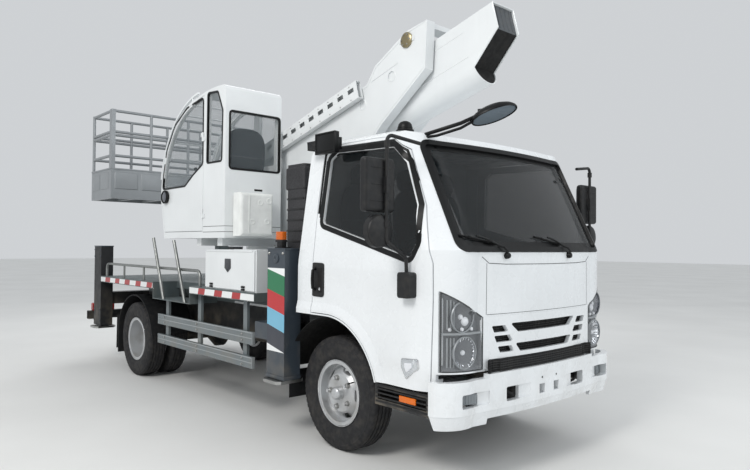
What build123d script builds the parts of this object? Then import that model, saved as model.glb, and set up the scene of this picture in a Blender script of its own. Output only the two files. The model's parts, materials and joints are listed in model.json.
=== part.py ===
from build123d import *
import math
import os

# A cherry picker truck: a cab-over light truck with a flat deck, four stabiliser legs and a
# turntable that carries an operator cab and a three-stage telescopic boom with a work basket.
# Millimetres. +X is the front of the truck, +Y its left side, +Z up, the ground is at Z = 0 and
# the turntable turns about the Z axis.

# Driving dimensions of the whole truck
NOSE_X = 2995            # front face of the bumper
TAIL_X = -2995           # rear face of the rear bar
FRONT_AXLE_X = 1865
REAR_AXLE_X = -1495
CAB_HALF = 930           # half width of the cab at the belt line
DECK_HALF = 950          # half width of the deck

# Wheels
TYRE_R = 387.5
TYRE_WIDE = 190
TYRE_CROWN = 12          # fall of the tread at its shoulders
FLANGE_R = 225           # rim flange
BEAD_R = 205
BEAD_SHARE = 0.72        # width over the beads as a share of the tyre's width
RIM_WALL = 8
DISC_WALL = 14
HUB_R = 78
DRUM_R = 135
STUD_CIRCLE_R = 102.5
STUDS = 5
STUD_R = 11
HAND_HOLES = 5
HAND_HOLE_LONG, HAND_HOLE_HIGH = 92, 34  # slots in the disc's slope
HAND_HOLE_CIRCLE_R = 158
CAP_R, CAP_RISE = 44, 58                 # domed hub cap
FRONT_WHEEL_Y = 752
TWIN_INNER_Y = 592
TWIN_OUTER_Y = 832
SPINDLE_R = 32
RUNNING_GAP = 0.05       # radial clearance of a bearing
SEAT_GAP = 0.3           # between pieces that slide on each other

# Ladder frame
RAIL_Y = 370             # outer face of a rail
RAIL_LOW, RAIL_TOP = 510, 680
RAIL_FLANGE = 60
RAIL_WALL = 7
SUBFRAME_TOP = 820
FRAME_REAR_X, FRAME_FRONT_X = -2880, 2700
SUBFRAME_X = (-2505, 955)
CROSS_MEMBERS_X = (-2700, -1900, -1100, -300, 500, 1250, 2500)
CROSS_WIDE = 90

# Axles
KINGPIN_Y = 640
KINGPIN_R = 18
STEER_ARM = 150          # from the kingpin to the tie rod's pin, along the truck
TIE_PIN_Y = 620          # the tie rod's pins, inboard of the tyres
AXLE_BEAM = (90, 80)     # depth, height
SPRING_Y = 405
SPRING_WIDE = 65
REAR_TUBE_R = 62
BANJO_R = 165

# Step under each door, ahead of the steered tyre
STEP_BOX_X, STEP_BOX_Y, STEP_BOX_Z = (2328, 2792), (745, 905), (415, 545)

# Air duct behind the cab
DUCT_BOX = (1232, 1462, -842, -690)      # its sides along and across the truck
DUCT_LOW, DUCT_TOP = 985, 2005

# Cab
CAB_REAR_X = 1519
CAB_FRONT_X = 2968
CAB_LOW = 557
BELT_Z = 1375
ROOF_Z = 2155
CAB_WALL = 40
WINDSCREEN_LEAN = 0.49   # run towards the rear for each unit of height
ARCH_R = 520
ARCH_Z = 400
ARCH_TOP = ARCH_Z + ARCH_R
FLARE = 10               # the shell's edge between the wheel arch and the door
FLARE_WIDE = 85          # raised flare round the arch, on door and shell
FLARE_RISE = 14
DOOR_GAP = 6
DOOR_REACH = 150         # how far the doors reach in from the cab's side
DOOR_HINGE = (2789, CAB_HALF + 8)        # the doors' upright hinge line
HINGE_ROOM_R = 116       # the floor keeps clear of the door's inner edge as it swings
GLASS = 6
FLOOR_Z = 925
FOOTWELL_Z = 640

# Deck
DECK_TOP = 1020
DECK_EDGE = 70
DECK_REAR_X, DECK_FRONT_X = -2505, 955
NOTCH_REAR_X, NOTCH_FRONT_X = -985, -175
NOTCH_HALF = 700
STEP_Z = 860
PLATE = 8
TANK_INSET, BATTERY_INSET = 150, 220     # from the deck's edge in to the fuel tank and the battery box

# Stabiliser legs
LEG_FRONT_X, LEG_REAR_X = 1340, -2620    # centres of the upright columns
LEG_LONG, LEG_DEEP = 230, 140            # the column along and across the truck
LEG_FRONT_Y, LEG_REAR_Y = 1000, DECK_HALF      # outer faces of the columns
LEG_INNER = 100                          # side of the square inner leg
LEG_LOW, LEG_TOP = 430, 1370
FOOT_LOW = 398
FOOT_LONG, FOOT_DEEP, FOOT_THICK = 220, 240, 22
BEAM_LONG, BEAM_WALL = 165, 8            # width of a sliding beam along the truck
BEAM_RIGHT_X, BEAM_LEFT_X = 1105, 1310   # centres of the sliding beams
SLIDE_GAP = 6                            # free space beside a sliding piece

# Turntable and tower
PEDESTAL_R = 300
RING_R = 345
RING_Z = 1300
TABLE_Z = 1350.3
TABLE_THICK = 38
TABLE_R = 400
CHEEK_OUT = 220          # outer face of a tower cheek
CHEEK_IN = 135
CHEEK_WALL = 10
PIVOT_X, PIVOT_Z = 1894, 2950
PIVOT_R = 35

# Boom, in its own axes: x' along the boom towards its base end, z' square to it, from the pivot
BOOM_DROOP = 15          # degrees below the horizontal at rest
BOOM_TOP = -73           # z' of the base section's top face
BOOM_HALF = 117.5
BOOM_SIDE = 361          # depth of its flat sides
BOOM_END = 725           # x' of the open base end
BOOM_WALL = 7
BOOM_AXIS = BOOM_TOP - BOOM_SIDE         # z' of the centre of its round underside
END_FACE_Z = -265                        # where the open end turns back
END_CUT = ((468, -434), (492, -560))     # corners of the cut-back end
STAGE_GAP = 8                            # between one section and the next
COLLAR_LONG = 90                         # wear collar at a section's mouth
STAGE_STARTS = (BOOM_END, 420, 300)
STAGE_MOUTHS = (-3800, -3900, -3960)
LUG_X, LUG_Z = -3000, -610               # centre of the lift rod's eye
LEVEL_X, LEVEL_Z = -4060, -300           # levelling pin at the boom's head
REST_X = -3500                           # where the boom lies on its rest

# Lift cylinder
CYL_BASE_X, CYL_BASE_Z = 1250, 2105
BARREL_R = 62
BARREL_LONG = 1900
BARREL_WALL = 10
ROD_R = 36
EYE_R = 52
EYE_BORE_R = 22
EYE_WIDE = 70

SLEEVE_LOW, SLEEVE_TOP = 1690, 1890
LEVEL_PIN_R = 25
ROD_START = 120          # piston's place from the base pin at rest
TRAY_X = (-3150, -560)
TRAY_IN_Y, TRAY_OUT_Y = 232, 285
TRAY_HIGH = 150
SLOT_PITCH, SLOT_LONG = 140, 75
TRAY_STRAPS = 4

# Basket
BASKET_IN_X, BASKET_OUT_X = -2225, -2885
BASKET_HALF = 950
BASKET_LOW, BASKET_TOP = 1930, 2970
BASKET_FLOOR = 2000
KICK_Z = 2280
RAIL_R = 17
SWIVEL_X = -2090
SWIVEL_R = 42

# Operator cab
OP_REAR_X = 341          # flat face towards the truck's cab
OP_OUT_Y, OP_IN_Y = -880, -310
OP_LOW = 1458
OP_WALL = 35
OP_SEAM_X = -65          # hinged edge of its door
OP_ARMS_X = (-250, 150)
OP_HINGES_Z = (1640, 2340)
HINGE_R, HINGE_HIGH = 9, 40
BASKET_RAILS_Z = (2953, 2710, 2670, 2430)
REAR_BAR_TOP = 570
REAR_BAR_HALF = DECK_HALF - 2            # the bar ends just inside the deck's edges
BUMPER_LOW, BUMPER_TOP = 358, 652
BUMPER_WALL = 42         # deep enough for the lip's turn
BUMPER_CREASE = 440
BUMPER_MIDDLE_LOW = 392  # lower edge between the steps
BUMPER_OUTER_TOP = 630   # upper edge outside the steps
BUMPER_REAR_X = 2812
STEP_HALF = 577          # half width of the higher middle
LIP_LEAN = 14            # degrees that the lip turns in
HORN_Z = (575, 640)       # frame horns behind the bumper
GRILLE_LOW, GRILLE_TOP = 700, 985
GRILLE_WALL = 25
LAMP_LOW, LAMP_IN_TOP, LAMP_OUT_TOP = 675, 985, 1140
LAMP_REAR_X, LAMP_DEEP = 2822, 70
COLUMN_TOP = (2330, -400, 1450)
COLUMN_DIR = (0.5, 0, -0.866)
STEERING_R = 190
HUB_HALF = 22            # half height of the steering wheel's hub
MIRROR_X, MIRROR_Y = 2642, 1110
MIRROR_HEAD_Z = (1590, 1900)
MIRROR_FOOT_X = 2655      # the stay's lower foot on the door
BEARERS_X = (-2200, -1850, -1515, -1180, 400)
GUARD_RAILS_Z = ((410, 500), (600, 700))
GUARD_REAR_X, GUARD_FRONT_X = -955, 855
GUARD_Y = 905
GUARD_POSTS = ((-800, STEP_Z - PLATE), (-110, DECK_TOP - DECK_EDGE), (700, DECK_TOP - DECK_EDGE))
FENDER_R = 470
GRAB_RAILS = ((-771, -1034, 1462), (-301, -554, 1436))   # foot, top and height of the top
GRAB_Y = 932             # clear of the hand rail, on the edge of the step
BOX_X = (115, 955)
BOX_OUT_Y, BOX_IN_Y = -930, -450
BOX_TOP = 1357
BOX_DOOR_WALL = 14
BOX_HINGE_R = 6          # long hinge barrel at the door's top edge
HOUSING_HALF = 780


def block(x0, x1, y0, y1, z0, z1):
    """A box between two corners."""
    return Pos((x0 + x1) / 2, (y0 + y1) / 2, (z0 + z1) / 2) * Box(x1 - x0, y1 - y0, z1 - z0)


def tube_box(x0, x1, y0, y1, z0, z1, wall, along):
    """A square tube whose bore runs along X, Y or Z."""
    low = [x0 + wall, y0 + wall, z0 + wall]
    high = [x1 - wall, y1 - wall, z1 - wall]
    i = "XYZ".index(along)
    low[i], high[i] = (x0, y0, z0)[i] - 1, (x1, y1, z1)[i] + 1
    return block(x0, x1, y0, y1, z0, z1) - block(low[0], high[0], low[1], high[1], low[2], high[2])


def side_face(points, radius=0):
    """A face in the XZ plane from its corners, with rounded corners."""
    face = make_face(Polyline(*points, close=True))
    return fillet(face.vertices(), radius) if radius else face


def side_slab(points, y0, y1, radius=0):
    """The XZ outline as a slab between two Y places."""
    face = side_face(points, radius)
    return Pos(0, y1, 0) * extrude(Plane.XZ * face, y1 - y0)


def plan_slab(points, z0, z1, radius=0):
    """The XY outline as a slab between two heights."""
    return Pos(0, 0, z0) * extrude(side_face(points, radius), z1 - z0)


def front_slab(points, x0, x1, radius=0):
    """The YZ outline as a slab between two X places."""
    face = side_face(points, radius)
    return Pos(x0, 0, 0) * extrude(Plane.YZ * face, x1 - x0)


def rod_y(x, z, y0, y1, radius):
    """A round bar across the truck."""
    return Pos(x, (y0 + y1) / 2, z) * Rot(90, 0, 0) * Cylinder(radius, y1 - y0)


def rod_x(y, z, x0, x1, radius):
    """A round bar along the truck."""
    return Pos((x0 + x1) / 2, y, z) * Rot(0, 90, 0) * Cylinder(radius, x1 - x0)


def rod_z(x, y, z0, z1, radius):
    """An upright round bar."""
    return Pos(x, y, (z0 + z1) / 2) * Cylinder(radius, z1 - z0)


def bar(start, end, radius):
    """A round bar between two points."""
    start, end = Vector(*start), Vector(*end)
    return extrude(Plane(start, z_dir=end - start) * Circle(radius), (end - start).length)


def pipe(points, radius, bend):
    """A bent tube along a line of points."""
    path = FilletPolyline(*points, radius=bend)
    return sweep(Plane(path @ 0, z_dir=path % 0) * Circle(radius), path)


def both_sides(shape):
    """A shape and its mirror image on the truck's other side."""
    return shape + mirror(shape, Plane.XZ)


def flip(shape):
    """The mirror image on the truck's other side."""
    return mirror(shape, Plane.XZ)


def in_boom(shape):
    """From the boom's own axes to its place at rest."""
    return Pos(PIVOT_X, 0, PIVOT_Z) * Rot(0, -BOOM_DROOP, 0) * shape


def boom_point(x, z):
    """The place at rest of a point in the boom's own axes."""
    turn = math.radians(BOOM_DROOP)
    return (PIVOT_X + x * math.cos(turn) - z * math.sin(turn),
            PIVOT_Z + x * math.sin(turn) + z * math.cos(turn))


def revolve_y(points):
    """A ring about the Y axis from (radius, y) points."""
    return revolve(make_face(Polyline(*points, close=True)), Axis.Y)


# Wheels
def tyre():
    """One tyre about the origin, axle along Y."""
    half = TYRE_WIDE / 2
    bulge = (TYRE_R + FLANGE_R) / 2
    tread = TYRE_R - TYRE_CROWN
    bead = half * BEAD_SHARE
    line = Polyline((BEAD_R, -bead), (FLANGE_R, -bead), (FLANGE_R + 6, -half * 0.8), (bulge, -half),
                    (tread, -half * 0.86), (TYRE_R, -half * 0.7), (TYRE_R, half * 0.7),
                    (tread, half * 0.86), (bulge, half), (FLANGE_R + 6, half * 0.8),
                    (FLANGE_R, bead), (BEAD_R, bead), (BEAD_R, bead * 0.6),
                    (FLANGE_R + 12, bead * 0.55), (FLANGE_R + 12, -bead * 0.55),
                    (BEAD_R, -bead * 0.6), close=True)
    return revolve(make_face(line), Axis.Y)


def rim(disc_y):
    """A rim with its bolted disc; disc_y is the bolting face along the axle."""
    half = TYRE_WIDE / 2 * BEAD_SHARE
    inner = BEAD_R - RIM_WALL
    barrel = revolve_y(((BEAD_R, -half), (BEAD_R, half), (inner, half), (inner, -half)))
    lips = Part()
    for side in (-1, 1):
        edge = half * side
        out = edge + 8 * side
        lips += revolve_y(((inner, edge), (FLANGE_R, edge), (FLANGE_R, out), (inner, out)))
    side = 1 if disc_y > 0 else -1
    rise = 46 * side
    disc = revolve_y(((HUB_R - 30, disc_y), (STUD_CIRCLE_R + 26, disc_y),
                      (HAND_HOLE_CIRCLE_R + 24, disc_y - rise), (inner, disc_y - rise),
                      (inner, disc_y - rise - DISC_WALL * side),
                      (HAND_HOLE_CIRCLE_R + 18, disc_y - rise - DISC_WALL * side),
                      (STUD_CIRCLE_R + 20, disc_y - DISC_WALL * side),
                      (HUB_R - 30, disc_y - DISC_WALL * side)))
    slot = SlotOverall(HAND_HOLE_LONG, HAND_HOLE_HIGH)
    for i in range(HAND_HOLES):
        turn = Rot(0, 0, 360 / HAND_HOLES * i)
        face = turn * Pos(HAND_HOLE_CIRCLE_R, 0) * Rot(0, 0, 90) * slot
        disc -= extrude(Plane.XZ * face, TYRE_WIDE, both=True)
    return barrel + lips + disc


def hub_cap(face_y, side):
    """Domed cap on the disc's bolting face."""
    shoulder, top = face_y + CAP_RISE * 0.6 * side, face_y + CAP_RISE * side
    flat_r = CAP_R / 4
    edges = (Line((0, face_y), (CAP_R, face_y)), Line((CAP_R, face_y), (CAP_R, shoulder)),
             ThreePointArc((CAP_R, shoulder), (CAP_R * 0.75, face_y + CAP_RISE * 0.9 * side), (flat_r, top)),
             Line((flat_r, top), (0, top)), Line((0, top), (0, face_y)))
    return revolve(make_face(Wire(edges)), Axis.Y)


def hub(face_y, depth, bore_r):
    """Hub, drum and wheel studs behind the disc; the hub reaches `depth` towards the truck."""
    side = 1 if face_y > 0 else -1
    back = face_y - depth * side
    near, far = min(face_y, back), max(face_y, back)
    body = rod_y(0, 0, near, far, HUB_R - 30)
    body += hub_cap(face_y, side)
    drum_a, drum_b = back, back + 70 * side
    body += rod_y(0, 0, min(drum_a, drum_b), max(drum_a, drum_b), DRUM_R)
    for i in range(STUDS):
        turn = Rot(0, 360 / STUDS * (i + 0.5), 0)
        low, high = sorted((face_y - (DISC_WALL + 10) * side, face_y + 34 * side))
        body += turn * rod_y(STUD_CIRCLE_R, 0, low, high, STUD_R)
    web_a, web_b = sorted((face_y - DISC_WALL * side, face_y - (DISC_WALL + 14) * side))
    body += rod_y(0, 0, web_a, web_b, STUD_CIRCLE_R + 20)
    bore_a, bore_b = sorted((back - side, face_y + 20 * side))
    return body - rod_y(0, 0, bore_a, bore_b, bore_r)


def wheels():
    """Tyres and rims of the four wheel positions."""
    front_face = 60
    drop = 100
    front_rim = rim(front_face) + hub(front_face, drop, SPINDLE_R + RUNNING_GAP)
    for name, side in (("left", 1), ("right", -1)):
        place = Pos(FRONT_AXLE_X, FRONT_WHEEL_Y * side, TYRE_R)
        export(f"tyre_front_{name}", place * tyre())
        export(f"rim_front_{name}", place * (front_rim if side > 0 else flip(front_rim)))
    inner_face = TWIN_INNER_Y + 110
    outer_rim = Pos(0, TWIN_OUTER_Y, 0) * rim(-1 * (TWIN_OUTER_Y - inner_face))
    inner_rim = Pos(0, TWIN_INNER_Y, 0) * rim(inner_face - TWIN_INNER_Y)
    twin = outer_rim + inner_rim + Pos(0, inner_face, 0) * hub(0.001, 130, SPINDLE_R + RUNNING_GAP)
    pair = Pos(0, TWIN_INNER_Y, 0) * tyre() + Pos(0, TWIN_OUTER_Y, 0) * tyre()
    place = Pos(REAR_AXLE_X, 0, TYRE_R)
    export("tyres_rear_left", place * pair)
    export("tyres_rear_right", place * flip(pair))
    export("rims_rear_left", place * twin)
    export("rims_rear_right", place * flip(twin))


def export(name, shape):
    """One node to its own file."""
    os.makedirs("parts", exist_ok=True)
    export_step(shape, f"parts/{name}.step")


# Frame and axles
def chassis_frame():
    """Ladder frame, the lift's subframe on it and the rear bar."""
    rail = block(FRAME_REAR_X, FRAME_FRONT_X, RAIL_Y - RAIL_FLANGE, RAIL_Y, RAIL_LOW, RAIL_TOP)
    rail -= block(FRAME_REAR_X - 1, FRAME_FRONT_X + 1, RAIL_Y - RAIL_FLANGE - 1,
                  RAIL_Y - RAIL_WALL, RAIL_LOW + RAIL_WALL, RAIL_TOP - RAIL_WALL)
    rail += tube_box(SUBFRAME_X[0], SUBFRAME_X[1], RAIL_Y - RAIL_FLANGE, RAIL_Y,
                     RAIL_TOP, SUBFRAME_TOP, RAIL_WALL, "X")
    frame = both_sides(rail)
    for x in CROSS_MEMBERS_X:
        frame += tube_box(x - CROSS_WIDE / 2, x + CROSS_WIDE / 2, -RAIL_Y + RAIL_WALL,
                          RAIL_Y - RAIL_WALL, RAIL_LOW + 30, RAIL_TOP - 30, RAIL_WALL, "Y")
    bar_low = REAR_BAR_TOP - 100
    frame += tube_box(TAIL_X, TAIL_X + 80, -REAR_BAR_HALF, REAR_BAR_HALF, bar_low, REAR_BAR_TOP,
                      RAIL_WALL, "Y")
    hanger = block(TAIL_X + 80, FRAME_REAR_X + 60, RAIL_Y - RAIL_FLANGE, RAIL_Y, bar_low, RAIL_TOP)
    horn = block(FRAME_FRONT_X - 60, NOSE_X, RAIL_Y - RAIL_FLANGE, RAIL_Y, HORN_Z[0], HORN_Z[1])
    horn &= Pos(0, 0, RAIL_LOW) * extrude(nose_plan(BUMPER_WALL + SEAT_GAP, 2400), 300)
    mounts = block(1560, 1650, RAIL_Y - RAIL_FLANGE, RAIL_Y, RAIL_TOP, FLOOR_Z - CAB_WALL - SEAT_GAP)
    mounts += block(2540, 2640, RAIL_Y - 1, 580, RAIL_LOW + 10, CAB_LOW - SEAT_GAP)
    mounts += block(2560, 2620, 560, STEP_BOX_Y[0] + 1, RAIL_LOW + 10, STEP_BOX_Z[1] - 10)
    step = block(*STEP_BOX_X, *STEP_BOX_Y, *STEP_BOX_Z)
    mounts += step - block(STEP_BOX_X[0] + 25, STEP_BOX_X[1] - 25, STEP_BOX_Y[0] + 40, STEP_BOX_Y[1] + 1,
                           STEP_BOX_Z[0] + 35, STEP_BOX_Z[1] - 20)
    return frame + both_sides(hanger + horn + mounts)


def leaf_pack(axle_x, mid_z, half_long, end_z):
    """A leaf spring pack from hanger to hanger."""
    pack = Part()
    for i in range(4):
        reach = half_long * (1 - 0.2 * i)
        rise = (end_z - mid_z) * (1 - 0.2 * i) ** 2
        low = mid_z - 11 * i
        pack += side_slab(((axle_x - reach, low + rise), (axle_x, low), (axle_x + reach, low + rise),
                           (axle_x + reach, low + rise + 11), (axle_x, low + 11),
                           (axle_x - reach, low + rise + 11)),
                          SPRING_Y - SPRING_WIDE / 2, SPRING_Y + SPRING_WIDE / 2)
    for x in (axle_x - half_long, axle_x + half_long):
        pack += side_slab(((x - 28, end_z), (x + 28, end_z), (x + 45, RAIL_LOW + 60),
                           (x - 45, RAIL_LOW + 60)), RAIL_Y, SPRING_Y + SPRING_WIDE / 2)
    return pack


def front_axle():
    """Dropped beam with fists for the kingpins, on its leaf springs."""
    deep, high = AXLE_BEAM
    x0, x1 = FRONT_AXLE_X - deep / 2, FRONT_AXLE_X + deep / 2
    low = TYRE_R - 90
    outline = ((0, low), (430, low), (560, TYRE_R - 45), (KINGPIN_Y - 40, TYRE_R - 45),
               (KINGPIN_Y - 40, TYRE_R + 45), (540, TYRE_R + 45), (410, low + high), (0, low + high))
    half = front_slab(outline, x0, x1, 0)
    fist = rod_z(FRONT_AXLE_X, KINGPIN_Y, TYRE_R - 45, TYRE_R + 45, 42)
    fist += block(x0 + 10, x1 - 10, KINGPIN_Y - 45, KINGPIN_Y, TYRE_R - 45, TYRE_R + 45)
    half += fist - rod_z(FRONT_AXLE_X, KINGPIN_Y, TYRE_R - 46, TYRE_R + 46,
                         KINGPIN_R + RUNNING_GAP)
    seat = block(x0 - 15, x1 + 15, SPRING_Y - SPRING_WIDE / 2, SPRING_Y + SPRING_WIDE / 2,
                 low + high - 5, low + high + 90)
    springs = leaf_pack(FRONT_AXLE_X, low + high + 60, 600, 500)
    return both_sides(half + seat + springs)


def knuckle():
    """Left steering knuckle: kingpin, fork, spindle and its arm."""
    z = TYRE_R
    pin = rod_z(FRONT_AXLE_X, KINGPIN_Y, z - 80, z + 80, KINGPIN_R)
    fork = Part()
    for low in (z - 80, z + 46):
        fork += rod_z(FRONT_AXLE_X, KINGPIN_Y, low, low + 34, 40)
        fork += block(FRONT_AXLE_X - 34, FRONT_AXLE_X + 34, KINGPIN_Y, KINGPIN_Y + 44,
                      low, low + 34)
    back = KINGPIN_Y + 44
    root = back + 22
    fork += block(FRONT_AXLE_X - 44, FRONT_AXLE_X + 44, back, root, z - 80, z + 80)
    spindle = rod_y(FRONT_AXLE_X, z, back, FRONT_WHEEL_Y + 70, SPINDLE_R)
    arm = block(FRONT_AXLE_X - STEER_ARM - 22, FRONT_AXLE_X, TIE_PIN_Y - 20, KINGPIN_Y + 14,
                z - 80, z - 58)
    return pin + fork + spindle + arm


def tie_rod():
    """Rod across the truck that ties the two knuckle arms together."""
    x = FRONT_AXLE_X - STEER_ARM
    z = TYRE_R - 106
    rod = rod_y(x, z, -TIE_PIN_Y, TIE_PIN_Y, 14)
    for side in (-1, 1):
        rod += rod_z(x, TIE_PIN_Y * side, z - 18, TYRE_R - 80 - SEAT_GAP, 18)
    return rod


def rear_axle():
    """Banjo housing with spindles, its springs and the propeller shaft."""
    z = TYRE_R
    inner_face = TWIN_INNER_Y + 110
    axle = rod_y(REAR_AXLE_X, z, -RAIL_Y - 130, RAIL_Y + 130, REAR_TUBE_R)
    axle += rod_y(REAR_AXLE_X, z, -inner_face - 10, inner_face + 10, SPINDLE_R)
    waist = REAR_TUBE_R + 10
    banjo = revolve_y(((0, -70), (waist, -70), (BANJO_R, 20), (BANJO_R, 100), (waist, 190), (0, 190)))
    axle += Pos(REAR_AXLE_X, 0, z) * banjo
    nose = REAR_AXLE_X + BANJO_R + 110
    axle += rod_x(60, z, REAR_AXLE_X, nose, 70)
    axle += bar((nose - 5, 60, z), (1290, 0, RAIL_LOW - 20), 38)
    springs = leaf_pack(REAR_AXLE_X, z + REAR_TUBE_R + 34, 640, 500)
    seat = block(REAR_AXLE_X - 60, REAR_AXLE_X + 60, SPRING_Y - SPRING_WIDE / 2,
                 SPRING_Y + SPRING_WIDE / 2, z + REAR_TUBE_R - 12, z + REAR_TUBE_R + 60)
    return axle + both_sides(springs + seat)


def engine():
    """The engine and gearbox as one plain block between the rails."""
    block_part = block(1420, 2380, -240, 240, 430, 870)
    block_part += block(1310, 1420, -150, 150, 470, RAIL_TOP - 10)
    foot = block(1900, 2000, 239, RAIL_Y - RAIL_WALL - SEAT_GAP, RAIL_LOW + 60, RAIL_LOW + 110)
    return block_part + both_sides(foot) + air_duct()


def air_duct():
    """Upright air intake duct behind the cab, with its cowl and the post that carries it."""
    x0, x1, y0, y1 = DUCT_BOX
    duct = block(x0, x1, y0, y1, DUCT_LOW, DUCT_TOP)
    duct = fillet(duct.edges().filter_by(Axis.Z), 22)
    cowl = fillet(block(x0 - 8, x1 + 8, y0 - 8, y1 + 8, DUCT_TOP - 190, DUCT_TOP - 20).edges(), 16)
    post = block(x0 + 70, x1 - 70, y0 + 40, y1 - 40, SUBFRAME_TOP + SEAT_GAP, DUCT_LOW + 1)
    return duct + cowl + post


def fuel_tank():
    """Fuel tank and battery box under the deck's left side."""
    tank = block(-700, 50, RAIL_Y + 4, DECK_HALF - TANK_INSET, 430, 790)
    tank = fillet(tank.edges().filter_by(Axis.X), 70)
    straps = Part()
    for x in (-560, -90):
        straps += block(x - 20, x + 20, RAIL_Y, DECK_HALF - TANK_INSET + 4, 426, 794)
    battery = block(250, 620, RAIL_Y, DECK_HALF - BATTERY_INSET, 480, 760)
    return tank + straps + battery


# Cab
def cab_plan(inset):
    """Half-rounded nose of the cab seen from above."""
    half = CAB_HALF - inset
    front = CAB_FRONT_X - inset
    corner_x, corner_y = front - 50, 630 - inset * 0.6
    side_x = 2690
    rear = CAB_REAR_X - 900
    edges = (Line((rear, -half), (side_x, -half)),
             ThreePointArc((side_x, -half), (2850 - inset * 0.7, -half + 90), (corner_x, -corner_y)),
             ThreePointArc((corner_x, -corner_y), (front, 0), (corner_x, corner_y)),
             ThreePointArc((corner_x, corner_y), (2850 - inset * 0.7, half - 90), (side_x, half)),
             Line((side_x, half), (rear, half)),
             Line((rear, half), (rear, -half)))
    return make_face(Wire(edges))


def cab_body(inset):
    """The cab as a solid, with each wall moved in by the inset."""
    face = cab_plan(inset)
    high = ROOF_Z + 200 - BELT_Z
    lower = Pos(0, 0, CAB_LOW + inset) * extrude(face, BELT_Z - CAB_LOW - inset)
    upper = extrude(Pos(0, 0, BELT_Z) * face, high, dir=(-WINDSCREEN_LEAN, 0, 1))
    body = lower + upper
    rear, top, roof = CAB_REAR_X + inset, ROOF_Z - inset, ROOF_Z - 30 - inset
    profile = ((rear, CAB_LOW - 10), (CAB_FRONT_X + 20, CAB_LOW - 10), (CAB_FRONT_X + 20, top - 70),
               (2560, top - 55), (2300, top - 10), (2050, top), (rear + 130, roof + 25),
               (rear + 75, roof - 15), (rear + 58, roof - 90), (rear, 1300))
    body &= side_slab(profile, -CAB_HALF - 20, CAB_HALF + 20)
    half = CAB_HALF - inset
    tumble = ((-half, CAB_LOW - 10), (half, CAB_LOW - 10), (half, 1250), (half - 22, 1500),
              (half - 68, roof - 85), (half - 100, roof - 15), (half - 180, roof + 15),
              (half - 420, top - 5), (0, top), (-half + 420, top - 5), (-half + 180, roof + 15),
              (-half + 100, roof - 15), (-half + 68, roof - 85), (-half + 22, 1500), (-half, 1250))
    return body & front_slab(tumble, CAB_REAR_X - 20, CAB_FRONT_X + 20)


DOOR_OUTLINE = ((1690, 1290), (1700, 1700), (1735, 2040), (1790, 2082), (2440, 2066), (2560, 1990),
                (2712, 1640), (2800, 1300), (2802, 1093), (2791, CAB_LOW), (1690, CAB_LOW))
DOOR_WINDOW = ((1775, 1551), (2259, 1428), (2640, 1330), (2690, 1420), (2668, 1640), (2560, 1905),
               (2440, 2010), (1880, 2030), (1812, 1990))
WINDSCREEN_LOW, WINDSCREEN_TOP = 1385, 2040


def arch(radius, y0, y1):
    """Round space over a front wheel, open towards the cab's rear."""
    return (rod_y(FRONT_AXLE_X, ARCH_Z, y0, y1, radius)
            + block(CAB_REAR_X - 30, FRONT_AXLE_X, y0, y1, CAB_LOW - 20, ARCH_Z + radius))


def arch_flare():
    """Raised flare round the left wheel arch, with a crest and a slope to the door's skin."""
    skin, crest = CAB_HALF - 6, CAB_HALF + FLARE_RISE
    band = ((0, skin), (0, crest), (FLARE_WIDE * 0.4, crest), (FLARE_WIDE, CAB_HALF + 1), (FLARE_WIDE, skin))
    ring = Pos(FRONT_AXLE_X, 0, ARCH_Z) * revolve_y([(ARCH_R + out, y) for out, y in band])
    ring &= block(FRONT_AXLE_X, FRONT_AXLE_X + 2 * ARCH_R, skin - 1, crest + 1, CAB_LOW, ARCH_TOP + FLARE_WIDE)
    straight = front_slab([(y, ARCH_TOP + out) for out, y in band], CAB_REAR_X, FRONT_AXLE_X)
    return ring + straight


def door_region(gap):
    """The space of the left door, drawn in by the gap; the cab's floor stays with the shell."""
    region = side_slab(DOOR_OUTLINE, CAB_HALF - DOOR_REACH, CAB_HALF + 30)
    if gap:
        face = offset(side_face(DOOR_OUTLINE), -gap)
        region = Pos(0, CAB_HALF + 30, 0) * extrude(Plane.XZ * face, DOOR_REACH + 30)
    floor = Pos(0, 0, CAB_LOW - 20) * extrude(cab_plan(CAB_WALL + 10 - gap), 130)
    return region - floor - arch(ARCH_R + FLARE + gap, 480, CAB_HALF + 40)


def windscreen_space(grow):
    """The space of the windscreen, as a slab across the cab's front."""
    low = WINDSCREEN_LOW - grow
    high = WINDSCREEN_TOP + grow
    half = 760 + grow
    band = front_slab(((-half, low), (half, low), (half, high), (-half, high)), 2350,
                      CAB_FRONT_X + 40, 60)
    return band


def rear_window():
    """The space of the window in the cab's rear wall."""
    return front_slab(((-520, 1520), (520, 1520), (520, 1930), (-520, 1930)), CAB_REAR_X - 20,
                      CAB_REAR_X + 200, 60)


def door_swing():
    """Space in the floor that the left door's front corner swings through."""
    hinge_x, hinge_y = DOOR_HINGE
    low, top = CAB_LOW - 1, CAB_LOW + CAB_WALL + 10
    swing = rod_z(hinge_x, hinge_y, low, top, HINGE_ROOM_R)
    return swing & block(hinge_x - HINGE_ROOM_R, hinge_x, hinge_y - HINGE_ROOM_R, hinge_y, low, top)


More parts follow.
